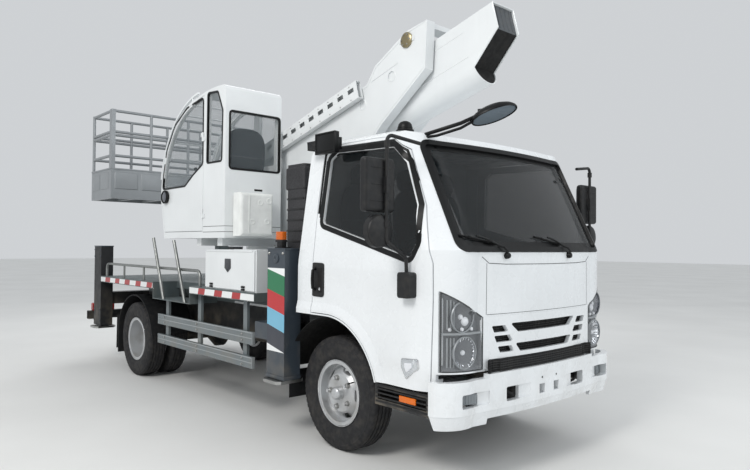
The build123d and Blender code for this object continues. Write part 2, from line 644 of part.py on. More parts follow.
def cab_shell(outer, inner):
    """Cab walls, roof and floor, open at the doors and windows."""
    shell = outer - inner + both_sides(arch_flare())
    shell -= block(2100, CAB_FRONT_X + 20, -500, 500, CAB_LOW - 20, CAB_LOW + CAB_WALL + 4)
    shell += block(CAB_REAR_X + 10, 2340, -CAB_HALF + 30, CAB_HALF - 30, FLOOR_Z - CAB_WALL, FLOOR_Z)
    shell -= both_sides(door_swing())
    for side in (1, -1):
        region = door_region(0)
        wheel = arch(ARCH_R, 480, CAB_HALF + 40)
        shell -= region if side > 0 else flip(region)
        shell -= wheel if side > 0 else flip(wheel)
    shell -= block(CAB_REAR_X - 30, 2300, -500, 500, CAB_LOW - 20, FLOOR_Z - CAB_WALL)
    shell -= windscreen_space(0)
    shell -= block(2812, CAB_FRONT_X + 20, -CAB_HALF - 1, CAB_HALF + 1, CAB_LOW - 20, LAMP_LOW - 10)
    shell -= grille_space(0) & block(2780, CAB_FRONT_X + 20, -600, 600, 600, 1000)
    shell -= both_sides(lamp_space(0) & (outer - cab_body(LAMP_DEEP + 2)))
    return shell - rear_window()


def export_cab():
    """Cab shell, doors, glass and what shows inside."""
    outer, inner = cab_body(0), cab_body(CAB_WALL)
    walls = outer - inner + arch_flare()
    export("cab_shell", cab_shell(outer, inner))
    door = walls & door_region(DOOR_GAP)
    door -= side_slab(DOOR_WINDOW, 500, CAB_HALF + 40, 25)
    glass_walls = cab_body(CAB_WALL / 2 - GLASS / 2) - cab_body(CAB_WALL / 2 + GLASS / 2)
    pane = glass_walls & side_slab(DOOR_WINDOW, 500, CAB_HALF + 40, 25)
    screen = glass_walls & windscreen_space(0)
    rear_pane = glass_walls & rear_window()
    export("door_left", door)
    export("door_right", flip(door))
    export("door_glass_left", pane)
    export("door_glass_right", flip(pane))
    export("cab_glass", screen + rear_pane)


# Front of the cab
def nose_plan(inset, rear_x):
    """The bumper's outline seen from above."""
    half, front = CAB_HALF + 7 - inset, NOSE_X - inset
    corner_x, corner_y = front - 45, 690 - inset * 0.6
    edges = (Line((rear_x, -half), (2850, -half)),
             ThreePointArc((2850, -half), (2912 - inset * 0.6, -half + 55), (corner_x, -corner_y)),
             ThreePointArc((corner_x, -corner_y), (front, 0), (corner_x, corner_y)),
             ThreePointArc((corner_x, corner_y), (2912 - inset * 0.6, half - 55), (2850, half)),
             Line((2850, half), (rear_x, half)),
             Line((rear_x, half), (rear_x, -half)))
    return make_face(Wire(edges))


TOW_OPENING = (295, 430, 474, 560)        # inner and outer place across the truck, low, top
FOG_OPENING = (658, 803, 478, 558)
PLATE_SLOTS = ((-82, 29), (76, 29))      # middle across the truck, half width
PLATE_SLOT_Z = (478, 537)
SCOOP = {TOW_OPENING: (205, 24), FOG_OPENING: (572, 20)}   # where the scoop beside it starts, its depth


def bumper_cuts():
    """The left half of the bumper's openings, each with the scoop that runs into it."""
    cuts = Part()
    for opening, (start, depth) in SCOOP.items():
        inner, outer, low, top = opening
        cuts += front_slab(((inner, low), (outer, low), (outer, top), (inner, top)), 2800, NOSE_X + 10, 12)
        face = NOSE_X - 45 * (inner / 690) ** 2
        cuts += plan_slab(((face + 2, start), (NOSE_X + 30, start), (NOSE_X + 30, inner + 15),
                           (face - depth, inner + 15)), low + 4, top)
    return cuts


def front_bumper():
    """Wrap-round bumper: a high middle, a lip turned in below the crease, openings and slots."""
    lip_high = BUMPER_CREASE - BUMPER_LOW
    lip = extrude(Pos(0, 0, BUMPER_CREASE) * nose_plan(3, BUMPER_REAR_X), -lip_high, taper=LIP_LEAN)
    shell = Pos(0, 0, BUMPER_CREASE) * extrude(nose_plan(0, BUMPER_REAR_X), BUMPER_TOP - BUMPER_CREASE) + lip
    shell -= Pos(0, 0, BUMPER_LOW - 1) * extrude(nose_plan(BUMPER_WALL, BUMPER_REAR_X - 30), 2 * BUMPER_TOP)
    middle = STEP_HALF
    shell -= block(BUMPER_REAR_X - 1, NOSE_X + 1, -middle, middle, BUMPER_LOW - 1, BUMPER_MIDDLE_LOW)
    outer = block(BUMPER_REAR_X - 1, NOSE_X + 1, middle, CAB_HALF + 20, BUMPER_OUTER_TOP, BUMPER_TOP + 1)
    for y, half in PLATE_SLOTS:
        shell -= block(2850, NOSE_X + 1, y - half, y + half, *PLATE_SLOT_Z)
    return shell - both_sides(outer + bumper_cuts())


def skin_region(thick, region):
    """The outer skin of the cab, as thick as asked, inside a region."""
    return (cab_body(0) - cab_body(thick)) & region


def grille_space(grow):
    """The grille panel's space between the headlamps."""
    half_top, half_low = 560 + grow, 545 + grow
    return front_slab(((-half_low, GRILLE_LOW - grow), (half_low, GRILLE_LOW - grow),
                       (half_top, GRILLE_TOP + grow), (-half_top, GRILLE_TOP + grow)),
                      2780, CAB_FRONT_X + 20)


GRILLE_SLOTS = (   # half width above, half width below, top, bottom
    (362, 288, 934, 877),
    (315, 267, 809, 756),
)
GRILLE_SIDE_SLOTS = (   # inner and outer place above, inner and outer place below, top, bottom
    (405, 520, 375, 500, 925, 885),
    (365, 500, 335, 480, 865, 825),
    (350, 470, 325, 450, 800, 762),
)


def grille_panel():
    """Painted panel with its air slots."""
    panel = skin_region(GRILLE_WALL, grille_space(-SEAT_GAP))
    for above, below, top, low in GRILLE_SLOTS:
        panel -= front_slab(((-below, low), (below, low), (above, top), (-above, top)),
                            2780, CAB_FRONT_X + 20, 8)
    for in_top, out_top, in_low, out_low, top, low in GRILLE_SIDE_SLOTS:
        for side in (-1, 1):
            panel -= front_slab(((in_low * side, low), (out_low * side, low),
                                 (out_top * side, top), (in_top * side, top)),
                                2780, CAB_FRONT_X + 20, 6)
    return panel


def lamp_space(grow):
    """Space of the right headlamp, wrapped round the cab's corner."""
    outline = ((-590 + grow, LAMP_LOW - grow), (-CAB_HALF - 20, LAMP_LOW - grow),
               (-CAB_HALF - 20, LAMP_OUT_TOP + grow), (-860, LAMP_OUT_TOP + grow),
               (-600 + grow, LAMP_IN_TOP + grow))
    return front_slab(outline, LAMP_REAR_X - grow, CAB_FRONT_X + 20)


def headlamps():
    """Both headlamps, lens and housing as one body each."""
    return both_sides(skin_region(LAMP_DEEP, lamp_space(-SEAT_GAP)))


# Inside the cab
def seats():
    """Driver's seat and the passengers' bench."""
    made = Part()
    for y0, y1 in ((-640, -180), (-120, 640)):
        cushion = block(1720, 2200, y0, y1, 1180, 1320)
        rest = side_slab(((1640, 1300), (1740, 1310), (1700, 1840), (1610, 1830)), y0, y1)
        base = block(1760, 2140, y0 + 40, y1 - 40, FLOOR_Z, 1182)
        made += fillet(cushion.edges().filter_by(Axis.Y), 40) + rest + base
    return made


def dashboard():
    """Dashboard across the cab with the steering column."""
    outline = ((2520, 1100), (2470, 1330), (2550, 1400), (2830, 1390), (2940, 1300), (2940, 1100))
    dash = side_slab(outline, -780, 780) & cab_body(CAB_WALL + SEAT_GAP)
    foot = (COLUMN_TOP[0] + 400 * COLUMN_DIR[0], COLUMN_TOP[1], COLUMN_TOP[2] + 400 * COLUMN_DIR[2])
    start = tuple(COLUMN_TOP[i] + (HUB_HALF + SEAT_GAP) * COLUMN_DIR[i] for i in range(3))
    return dash + bar(start, foot, 38)


def steering_wheel():
    """Steering wheel with three spokes and its hub."""
    plane = Plane(COLUMN_TOP, z_dir=COLUMN_DIR)
    ring = plane * Torus(STEERING_R, 15)
    hub_part = plane * Cylinder(48, 2 * HUB_HALF)
    for i in range(3):
        hub_part += plane * (Rot(0, 0, 120 * i + 90) * Pos(STEERING_R / 2, 0, 0) * Box(STEERING_R, 30, 14))
    return ring + hub_part


def mirror_set():
    """Left mirror arm with its main and its round head."""
    hoop = pipe(((2668, 868, 2005), (MIRROR_X, MIRROR_Y, 2035), (MIRROR_X, MIRROR_Y, 1425),
                 (MIRROR_FOOT_X, CAB_HALF + 35, 1330), (MIRROR_FOOT_X, CAB_HALF + 28, 1200)), 11, 35)
    foot = block(MIRROR_FOOT_X - 50, MIRROR_FOOT_X + 50, CAB_HALF - 8, CAB_HALF + 58, 1095, 1245)
    hoop += fillet(foot.edges().filter_by(Axis.Y), 18)
    low, high = MIRROR_HEAD_Z
    head = block(MIRROR_X - 75, MIRROR_X - 15, MIRROR_Y - 85, MIRROR_Y + 147, low, high)
    head = fillet(head.edges(), 22)
    clamp = block(MIRROR_X - 20, MIRROR_X + 12, MIRROR_Y - 12, MIRROR_Y + 12, 1700, 1790)
    round_head = Pos(MIRROR_X - 40, MIRROR_Y + 30, 1482) * Rot(0, 90, 0) * Cylinder(95, 40)
    arm = block(MIRROR_X - 30, MIRROR_X, MIRROR_Y - 12, MIRROR_Y + 12, 1460, 1500)
    return hoop + head + clamp + round_head + arm - cab_body(0)


def front_mirror():
    """Cross-view mirror on its arm at the cab's right front corner."""
    arm = pipe(((2500, -700, 2075), (2760, -660, 2120), (2885, -520, 2185)), 13, 60)
    head = Pos(2900, -445, 2206) * Rot(0, 0, 80) * Rot(14, 0, 0) * scale(Sphere(100), (1.95, 0.45, 0.95))
    return arm + head - cab_body(0)


# Deck and what stands on it
def deck():
    """Deck plates, edges, bearers, side steps and the boom's rest."""
    edge = 40
    made = Part()
    for x0, x1, half in ((DECK_REAR_X, NOTCH_REAR_X, DECK_HALF), (NOTCH_FRONT_X, DECK_FRONT_X, DECK_HALF),
                         (NOTCH_REAR_X, NOTCH_FRONT_X, NOTCH_HALF)):
        made += block(x0, x1, -half, half, DECK_TOP - PLATE, DECK_TOP)
        for side in (-1, 1):
            y0, y1 = sorted((side * (half - edge), side * half))
            made += block(x0, x1, y0, y1, DECK_TOP - DECK_EDGE, DECK_TOP)
    for x in (DECK_REAR_X, NOTCH_REAR_X - edge, NOTCH_FRONT_X, DECK_FRONT_X - edge):
        made += block(x, x + edge, -DECK_HALF, DECK_HALF, DECK_TOP - DECK_EDGE, DECK_TOP)
    for x in BEARERS_X:
        made += block(x, x + edge, -DECK_HALF + edge, DECK_HALF - edge, DECK_TOP - DECK_EDGE, DECK_TOP)
    runner = block(DECK_REAR_X, DECK_FRONT_X, RAIL_Y - RAIL_FLANGE, RAIL_Y, SUBFRAME_TOP,
                   DECK_TOP - DECK_EDGE)
    tread = block(NOTCH_REAR_X - PLATE, NOTCH_FRONT_X + PLATE, NOTCH_HALF - 30, DECK_HALF,
                  STEP_Z - PLATE, STEP_Z)
    for x in (NOTCH_REAR_X - PLATE, NOTCH_FRONT_X):
        tread += block(x, x + PLATE, NOTCH_HALF - 30, DECK_HALF, STEP_Z - PLATE, DECK_TOP - PLATE)
    made += both_sides(runner + tread)
    made -= rod_z(0, 0, SUBFRAME_TOP - 1, DECK_TOP + 1, PEDESTAL_R + 25)
    made -= block(-RAIL_Y - 2, RAIL_Y + 2, -RAIL_Y - 2, RAIL_Y + 2, SUBFRAME_TOP - 1, SUBFRAME_TOP + 20)
    rest_x, rest_z = boom_point(REST_X, BOOM_AXIS - BOOM_HALF)
    made += block(rest_x - 45, rest_x + 45, -60, 60, DECK_TOP, rest_z - 70)
    pad = block(REST_X - 70, REST_X + 70, -95, 95, BOOM_AXIS - BOOM_HALF - 60,
                BOOM_AXIS - BOOM_HALF - SLIDE_GAP)
    return made + in_boom(pad)


def side_guards():
    """Lower side rails with their hangers."""
    guard = Part()
    for low, high in GUARD_RAILS_Z:
        guard += tube_box(GUARD_REAR_X, GUARD_FRONT_X, GUARD_Y - 28, GUARD_Y, low, high, 4, "X")
    for x, top in GUARD_POSTS:
        guard += block(x - 30, x + 30, GUARD_Y - 52, GUARD_Y - 28, GUARD_RAILS_Z[0][0] + 10, top)
    return both_sides(guard)


def rear_fenders():
    """Round mudguards over the twin wheels, with flaps."""
    y0, y1 = TWIN_INNER_Y - 100, DECK_HALF - 12
    hood = rod_y(REAR_AXLE_X, TYRE_R, y0, y1, FENDER_R)
    hood -= rod_y(REAR_AXLE_X, TYRE_R, y0 - 1, y1 + 1, FENDER_R - 6)
    hood -= block(REAR_AXLE_X - 600, REAR_AXLE_X + 600, y0 - 1, y1 + 1, -200, TYRE_R + 90)
    flap_x = REAR_AXLE_X - FENDER_R
    hood += block(flap_x + 5, flap_x + 15, y0, y1, 190, TYRE_R + 110)
    hood += block(REAR_AXLE_X - 25, REAR_AXLE_X + 25, y0 + 90, y0 + 150, TYRE_R + FENDER_R - 3,
                  DECK_TOP - DECK_EDGE)
    return both_sides(hood)


def toolbox():
    """Steel toolbox, open at its door."""
    x0, x1 = BOX_X
    outer = block(x0, x1, BOX_OUT_Y, BOX_IN_Y, DECK_TOP, BOX_TOP)
    return outer - block(x0 + 30, x1 - 30, BOX_OUT_Y - 1, BOX_IN_Y - 5, DECK_TOP + 30, BOX_TOP - 30)


def toolbox_door():
    """The toolbox's door, hung at its top edge."""
    x0, x1 = BOX_X
    y = BOX_OUT_Y - SEAT_GAP
    panel = block(x0 + 12, x1 - 12, y - BOX_DOOR_WALL, y, DECK_TOP + 12, BOX_TOP - 12)
    return panel + rod_x(y - BOX_DOOR_WALL, BOX_TOP - 12, x0 + 40, x1 - 40, BOX_HINGE_R)


def hand_rails():
    """Tube rails at the deck's edges and the slanted grab rails of the right side."""
    y = DECK_HALF - 50
    rail = pipe(((-2450, y, DECK_TOP), (-2450, y, 1167), (-62, y, 1159), (-62, y, DECK_TOP)), 14, 60)
    for x in (-1900, -1350):
        rail += rod_z(x, y, DECK_TOP, 1165, 11)
    made = both_sides(rail)
    for foot_x, top_x, top_z in GRAB_RAILS:
        made += bar((foot_x + 4, -GRAB_Y, STEP_Z - 10), (top_x, -GRAB_Y, top_z), 15)
        made -= block(foot_x - 40, foot_x + 40, -GRAB_Y - 20, -GRAB_Y + 20, STEP_Z - 30, STEP_Z)
    return made


def tail_lamps():
    """Lamp clusters on the rear bar."""
    lamp = block(TAIL_X + 8, TAIL_X + 72, 640, 900, REAR_BAR_TOP, REAR_BAR_TOP + 95)
    return both_sides(fillet(lamp.edges().filter_by(Axis.X), 14))


# Stabiliser legs
def column(x, y_out):
    """Upright column of a left leg with its square bore."""
    y = y_out - LEG_DEEP / 2
    tube = block(x - LEG_LONG / 2, x + LEG_LONG / 2, y_out - LEG_DEEP, y_out, LEG_LOW, LEG_TOP)
    bore = LEG_INNER / 2 + SEAT_GAP
    return tube - block(x - bore, x + bore, y - bore, y + bore, LEG_LOW - 1, LEG_TOP - 14)


def inner_leg(x, y_out):
    """Inner leg of a left leg with its foot."""
    y = y_out - LEG_DEEP / 2
    half = LEG_INNER / 2
    leg = block(x - half, x + half, y - half, y + half, FOOT_LOW + FOOT_THICK - 1, LEG_TOP - 24)
    foot = block(x - FOOT_LONG / 2, x + FOOT_LONG / 2, y - FOOT_DEEP / 2, y + FOOT_DEEP / 2,
                 FOOT_LOW, FOOT_LOW + FOOT_THICK)
    return leg + chamfer(foot.edges().filter_by(Axis.Z), 30)


def sliding_beam(x):
    """Left beam with its column; x is the beam's centre."""
    half = BEAM_LONG / 2
    low, high = RAIL_TOP + BEAM_WALL + SEAT_GAP, SUBFRAME_TOP - BEAM_WALL - SEAT_GAP
    reach = LEG_FRONT_Y - 20
    beam = tube_box(x - half, x + half, -RAIL_Y - 120, reach, low, high, BEAM_WALL, "Y")
    web_y = LEG_FRONT_Y - LEG_DEEP
    x_column = LEG_FRONT_X - LEG_LONG / 2
    beam -= block(x_column, x_column + LEG_LONG, web_y, reach + 1, low - 1, high + 1)
    if x + half < x_column:
        beam += block(x - half, x_column + 1, web_y, web_y + 14, low, high)
        beam += block(x - half, x_column + 1, reach - 14, reach, low, high)
    return beam + column(LEG_FRONT_X, LEG_FRONT_Y)


def outrigger_housings():
    """Box across the frame for the front beams, and the rear cross tube with its columns."""
    front = Part()
    for x in (BEAM_RIGHT_X, BEAM_LEFT_X):
        half = BEAM_LONG / 2 + SLIDE_GAP
        box = block(x - half - BEAM_WALL, x + half + BEAM_WALL, -HOUSING_HALF, HOUSING_HALF, RAIL_TOP,
                    SUBFRAME_TOP)
        front += box - block(x - half, x + half, -HOUSING_HALF - 1, HOUSING_HALF + 1,
                             RAIL_TOP + BEAM_WALL, SUBFRAME_TOP - BEAM_WALL)
    rear = tube_box(LEG_REAR_X - 80, LEG_REAR_X + 80, -LEG_REAR_Y + LEG_DEEP, LEG_REAR_Y - LEG_DEEP,
                    RAIL_TOP, SUBFRAME_TOP, BEAM_WALL, "Y")
    return front + rear + both_sides(column(LEG_REAR_X, LEG_REAR_Y))


# Turntable
def slew_pedestal():
    """Post with its base flange and the slewing ring."""
    post = rod_z(0, 0, SUBFRAME_TOP, RING_Z, PEDESTAL_R) - rod_z(0, 0, SUBFRAME_TOP - 1, RING_Z + 1,
                                                                PEDESTAL_R - 14)
    post += block(-RAIL_Y, RAIL_Y, -RAIL_Y, RAIL_Y, SUBFRAME_TOP, SUBFRAME_TOP + 20)
    ring = rod_z(0, 0, RING_Z, TABLE_Z - SEAT_GAP, RING_R)
    ring -= rod_z(0, 0, RING_Z - 1, TABLE_Z, PEDESTAL_R - 40)
    post -= block(-RAIL_Y + RAIL_FLANGE, RAIL_Y - RAIL_FLANGE, -200, 200, SUBFRAME_TOP - 1,
                  SUBFRAME_TOP + 21)
    for i in range(8):
        turn = Rot(0, 0, 45 * i + 22.5)
        post += turn * side_slab(((PEDESTAL_R - 2, RING_Z), (RING_R - 5, RING_Z),
                                  (PEDESTAL_R - 2, RING_Z - 120)), -6, 6)
    return post + ring


TABLE_TOP = TABLE_Z + TABLE_THICK
CHEEK = ((-320, TABLE_TOP), (330, TABLE_TOP), (1300, 2030), (1480, 2215), (1611, 2347), (2084, 2700),
         (2101, 3053), (1894, 3022), (1534, 2829), (1440, 2700), (100, 2344), (-230, 2100), (-320, 1900))
CHEEK_HOLES = ((1727, 2711), (1385, 2542))
CHEEK_HOLE_R = 37


def tower():
    """Turntable plate with the leaning tower whose cheeks hold the boom."""
    cheek = side_slab(CHEEK, CHEEK_IN, CHEEK_OUT)
    pocket = offset(side_face(CHEEK), -CHEEK_WALL)
    cheek -= Pos(0, CHEEK_OUT - CHEEK_WALL, 0) * extrude(Plane.XZ * pocket,
                                                         CHEEK_OUT - CHEEK_IN - 2 * CHEEK_WALL)
    for x, z in CHEEK_HOLES:
        cheek -= rod_y(x, z, CHEEK_OUT - CHEEK_WALL - 1, CHEEK_OUT + 1, CHEEK_HOLE_R)
    cheek += rod_y(PIVOT_X, PIVOT_Z, CHEEK_IN + 2, CHEEK_OUT - 2, PIVOT_R + 20)
    cheek += rod_y(CYL_BASE_X, CYL_BASE_Z, EYE_WIDE / 2 + SLIDE_GAP, CHEEK_IN + CHEEK_WALL, EYE_R)
    made = both_sides(cheek)
    made += rod_y(PIVOT_X, PIVOT_Z, -CHEEK_OUT - 8, CHEEK_OUT + 8, PIVOT_R)
    made += rod_y(CYL_BASE_X, CYL_BASE_Z, -CHEEK_IN, CHEEK_IN, EYE_BORE_R)
    under = ((340, TABLE_TOP + 2), (1300, 2040), (1470, 2215), (1455, 2228), (1290, 2060),
             (320, TABLE_TOP + 20))
    made += side_slab(under, -CHEEK_IN - 1, CHEEK_IN + 1)
    hood = ((1990, 2998), (2090, 3010), (2092, 3046), (1990, 3031))
    made += side_slab(hood, -CHEEK_IN - 1, CHEEK_IN + 1)
    made += rod_z(0, 0, TABLE_Z, TABLE_TOP, TABLE_R)
    for x in OP_ARMS_X:
        made += block(x - 45, x + 45, OP_OUT_Y + 60, -CHEEK_IN - 5, TABLE_TOP, OP_LOW)
    return made


OP_WINDOW = ((-935, 1961), (-442, 1963), (-271, 2057), (-85, 2140), (-85, 2735), (-414, 2690),
             (-670, 2560), (-845, 2341), (-922, 2098))
OP_QUARTER = ((8, 2142), (271, 2138), (281, 2570), (191, 2745), (14, 2760))


def op_outline():
    """Side view of the operator cab, with its round windscreen."""
    x = OP_REAR_X
    edges = (Line((x, OP_LOW), (-895, OP_LOW)), Line((-895, OP_LOW), (-978, 1830)),
             ThreePointArc((-978, 1830), (-748, 2494), (-219, 2758)),
             ThreePointArc((-219, 2758), (30, 2796), (276, 2797)),
             ThreePointArc((276, 2797), (322, 2780), (x, 2735)), Line((x, 2735), (x, OP_LOW)))
    return make_face(Wire(edges))


def op_slab(face, y0, y1):
    """The operator cab's side view as a slab."""
    return Pos(0, y1, 0) * extrude(Plane.XZ * face, y1 - y0)


def op_window():
    """The large side window's outline, kept clear of the windscreen's wall."""
    return fillet(side_face(OP_WINDOW).vertices(), 15) & offset(op_outline(), -OP_WALL - 6)


def op_door_face(gap):
    """The door's outline on the operator cab's side."""
    face = offset(op_outline(), -22 - gap)
    keep = side_face(((-1200, OP_LOW + 60 + gap), (OP_SEAM_X - gap, OP_LOW + 60 + gap),
                      (OP_SEAM_X - gap, 3000), (-1200, 3000)))
    return face & keep


def operator_cab():
    """Hollow operator cab with its window openings and the guard before its windscreen."""
    shell = op_slab(op_outline(), OP_OUT_Y, OP_IN_Y)
    shell -= op_slab(offset(op_outline(), -OP_WALL), OP_OUT_Y + OP_WALL, OP_IN_Y - OP_WALL)
    shell -= op_slab(op_door_face(0), OP_OUT_Y - 1, OP_OUT_Y + OP_WALL + 1)
    shell -= side_slab(OP_QUARTER, OP_OUT_Y - 1, OP_IN_Y + 1, 15)
    shell -= op_slab(op_window(), OP_IN_Y - OP_WALL - 1, OP_IN_Y + 1)
    rear = ((OP_OUT_Y + 47, 2070), (OP_IN_Y - 25, 2070), (OP_IN_Y - 25, 2560), (OP_OUT_Y + 47, 2560))
    shell -= front_slab(rear, OP_REAR_X - OP_WALL - 1, OP_REAR_X + 1, 15)
    screen = block(-1100, -120, OP_OUT_Y + 45, OP_IN_Y - 45, 1990, 2790)
    shell -= screen & (op_slab(op_outline(), OP_OUT_Y, OP_IN_Y)
                       - op_slab(offset(op_outline(), -OP_WALL - 1), OP_OUT_Y, OP_IN_Y))
    for z in OP_HINGES_Z:
        shell += rod_z(OP_SEAM_X - 2, OP_OUT_Y - HINGE_R, z, z + HINGE_HIGH, HINGE_R)
        shell += block(OP_SEAM_X - 2, OP_SEAM_X + 38, OP_OUT_Y - HINGE_R, OP_OUT_Y + 1, z + 2,
                       z + HINGE_HIGH - 2)
    return shell + op_guard()


def op_guard():
    """Tube guard that follows the round windscreen, on stubs."""
    guard = Part()
    span = block(-1200, -220, OP_OUT_Y, OP_IN_Y, 2060, 2900)
    centre_x, centre_z, radius = -124, 1906, 857
    for y in (OP_OUT_Y + 22, OP_IN_Y - 22):
        hoop = rod_y(centre_x, centre_z, y - 9, y + 9, radius + 62)
        hoop -= rod_y(centre_x, centre_z, y - 10, y + 10, radius + 44)
        guard += hoop & span
    for turn in (167, 156, 145, 134, 123, 112, 101):
        x = centre_x + (radius + 53) * math.cos(math.radians(turn))
        z = centre_z + (radius + 53) * math.sin(math.radians(turn))
        guard += rod_y(x, z, OP_OUT_Y + 22, OP_IN_Y - 22, 7)
    for turn in (168, 104):
        for y in (OP_OUT_Y + 22, OP_IN_Y - 22):
            c, s = math.cos(math.radians(turn)), math.sin(math.radians(turn))
            guard += bar((centre_x + (radius - 20) * c, y, centre_z + (radius - 20) * s),
                         (centre_x + (radius + 50) * c, y, centre_z + (radius + 50) * s), 8)
    return guard


def operator_door():
    """Door of the operator cab, open at its window."""
    door = op_slab(op_door_face(5), OP_OUT_Y, OP_OUT_Y + 30)
    door -= op_slab(op_window(), OP_OUT_Y - 1, OP_OUT_Y + OP_WALL)
    for z in OP_HINGES_Z:
        low = z + HINGE_HIGH + SEAT_GAP
        door += rod_z(OP_SEAM_X - 2, OP_OUT_Y - HINGE_R, low, low + HINGE_HIGH, HINGE_R)
        door += block(OP_SEAM_X - 42, OP_SEAM_X - 2, OP_OUT_Y - HINGE_R, OP_OUT_Y + 1, low + 2,
                      low + HINGE_HIGH - 2)
    return door


def operator_glass():
    """Panes of the operator cab that do not move."""
    panes = side_slab(OP_QUARTER, OP_OUT_Y + 14, OP_OUT_Y + 19, 15)
    panes += op_slab(op_window(), OP_IN_Y - 19, OP_IN_Y - 14)
    panes += side_slab(OP_QUARTER, OP_IN_Y - 19, OP_IN_Y - 14, 15)
    rear = ((OP_OUT_Y + 47, 2070), (OP_IN_Y - 25, 2070), (OP_IN_Y - 25, 2560), (OP_OUT_Y + 47, 2560))
    panes += front_slab(rear, OP_REAR_X - 19, OP_REAR_X - 14, 15)
    screen = block(-1100, -120, OP_OUT_Y + 45, OP_IN_Y - 45, 1990, 2790)
    skin = (op_slab(offset(op_outline(), -14), OP_OUT_Y, OP_IN_Y)
            - op_slab(offset(op_outline(), -19), OP_OUT_Y - 1, OP_IN_Y + 1))
    return panes + (screen & skin)


def operator_seat():
    """The operator's seat on its box."""
    mid = (OP_OUT_Y + OP_IN_Y) / 2
    y0, y1 = mid - 220, mid + 220
    cushion = fillet(block(-330, 130, y0, y1, 1870, 1980).edges().filter_by(Axis.Y), 35)
    rest = side_slab(((100, 1950), (200, 1960), (250, 2420), (150, 2430)), y0 + 20, y1 - 20)
    return cushion + rest + block(-250, 100, y0 + 50, y1 - 50, OP_LOW + OP_WALL, 1872)


def water_tank():
    """Plastic tank on the operator cab's flat face."""
    tank = block(OP_REAR_X, OP_REAR_X + 150, -810, -480, 1475, 1851)
    return fillet(tank.edges().filter_by(Axis.X, reverse=True), 30)


# Boom
def boom_section(inset, x0, x1):
    """A length of the boom's flat-sided, round-bottomed section, in the boom's axes."""
    half = BOOM_HALF - inset
    return (block(x0, x1, -half, half, BOOM_AXIS, BOOM_TOP - inset)
            + rod_x(0, BOOM_AXIS, x0, x1, half))


def boom_stage(i):
    """Hollow telescopic stage i with the wear collar at its mouth."""
    inset = i * (BOOM_WALL + STAGE_GAP)
    start, mouth = STAGE_STARTS[i], STAGE_MOUTHS[i]
    stage = boom_section(inset, mouth, start) - boom_section(inset + BOOM_WALL, mouth - 1, start + 1)
    if i + 1 < len(STAGE_MOUTHS):
        fit = inset + BOOM_WALL + STAGE_GAP - SEAT_GAP
        stage += (boom_section(inset + BOOM_WALL - 1, mouth, mouth + COLLAR_LONG)
                  - boom_section(fit, mouth - 1, mouth + COLLAR_LONG + 1))
    return stage


def boom_base():
    """Outer boom section with its open cut-back end, pivot boss and lift lug."""
    made = boom_stage(0)
    made -= side_slab(((BOOM_END + 1, END_FACE_Z), END_CUT[0], END_CUT[1], (BOOM_END + 1, END_CUT[1][1])),
                      -BOOM_HALF - 1, BOOM_HALF + 1)
    boss = rod_y(0, 0, -CHEEK_IN + SLIDE_GAP, CHEEK_IN - SLIDE_GAP, PIVOT_R + 25)
    boss += block(-110, 110, -BOOM_HALF, BOOM_HALF, BOOM_TOP - 1, BOOM_TOP + 20)
    boss += side_slab(((-105, BOOM_TOP), (105, BOOM_TOP), (52, -20), (-52, -20)), -BOOM_HALF + 8,
                      BOOM_HALF - 8)
    boss -= rod_y(0, 0, -CHEEK_IN, CHEEK_IN, PIVOT_R + RUNNING_GAP)
    near = EYE_WIDE / 2 + SLIDE_GAP
    ear = side_slab(((LUG_X - 120, BOOM_AXIS - 85), (LUG_X + 120, BOOM_AXIS - 85),
                     (LUG_X + 50, LUG_Z - 55), (LUG_X - 50, LUG_Z - 55)), near, near + 20)
    ear -= boom_section(-SEAT_GAP, LUG_X - 200, LUG_X + 200)
    return in_boom(made + boss + both_sides(ear))


def cable_tray():
    """Slotted tray along the boom's right side, on cross straps over its top."""
    x0, x1 = TRAY_X
    y0, y1 = -TRAY_OUT_Y, -TRAY_IN_Y
    low = BOOM_TOP - TRAY_HIGH
    tray = block(x0, x1, y0, y1, low, BOOM_TOP)
    tray -= block(x0 - 1, x1 + 1, y0 + 4, y1 - 4, low + 4, BOOM_TOP - 4)
    count = int((x1 - x0 - 120) // SLOT_PITCH)
    for i in range(count + 1):
        x = x1 - 80 - SLOT_PITCH * i
        tray -= block(x - SLOT_LONG / 2, x + SLOT_LONG / 2, y0 - 1, y0 + 5, BOOM_TOP - 80, BOOM_TOP - 42)
    for i in range(TRAY_STRAPS):
        x = x0 + 150 + i * (x1 - x0 - 700) / (TRAY_STRAPS - 1)
        tray += block(x - 30, x + 30, y0, -BOOM_HALF + 60, BOOM_TOP, BOOM_TOP + 6)
    return in_boom(tray)


def boom_tip():
    """Inner boom section with the ears of its head."""
    made = boom_stage(2)
    inset = 2 * (BOOM_WALL + STAGE_GAP) + BOOM_WALL
    half = BOOM_HALF - inset
    mouth = STAGE_MOUTHS[2]
    ear = side_slab(((mouth + 60, LEVEL_Z - 120), (mouth + 60, LEVEL_Z + 120), (mouth - 20, LEVEL_Z + 110),
                     (LEVEL_X, LEVEL_Z + 55), (LEVEL_X, LEVEL_Z - 55), (mouth - 20, LEVEL_Z - 110)),
                    half - 20, half + 1)
    ear += rod_y(LEVEL_X, LEVEL_Z, half - 20, half + 1, 55)
    ear -= rod_y(LEVEL_X, LEVEL_Z, 0, BOOM_HALF, LEVEL_PIN_R + RUNNING_GAP)
    return in_boom(made + both_sides(ear))


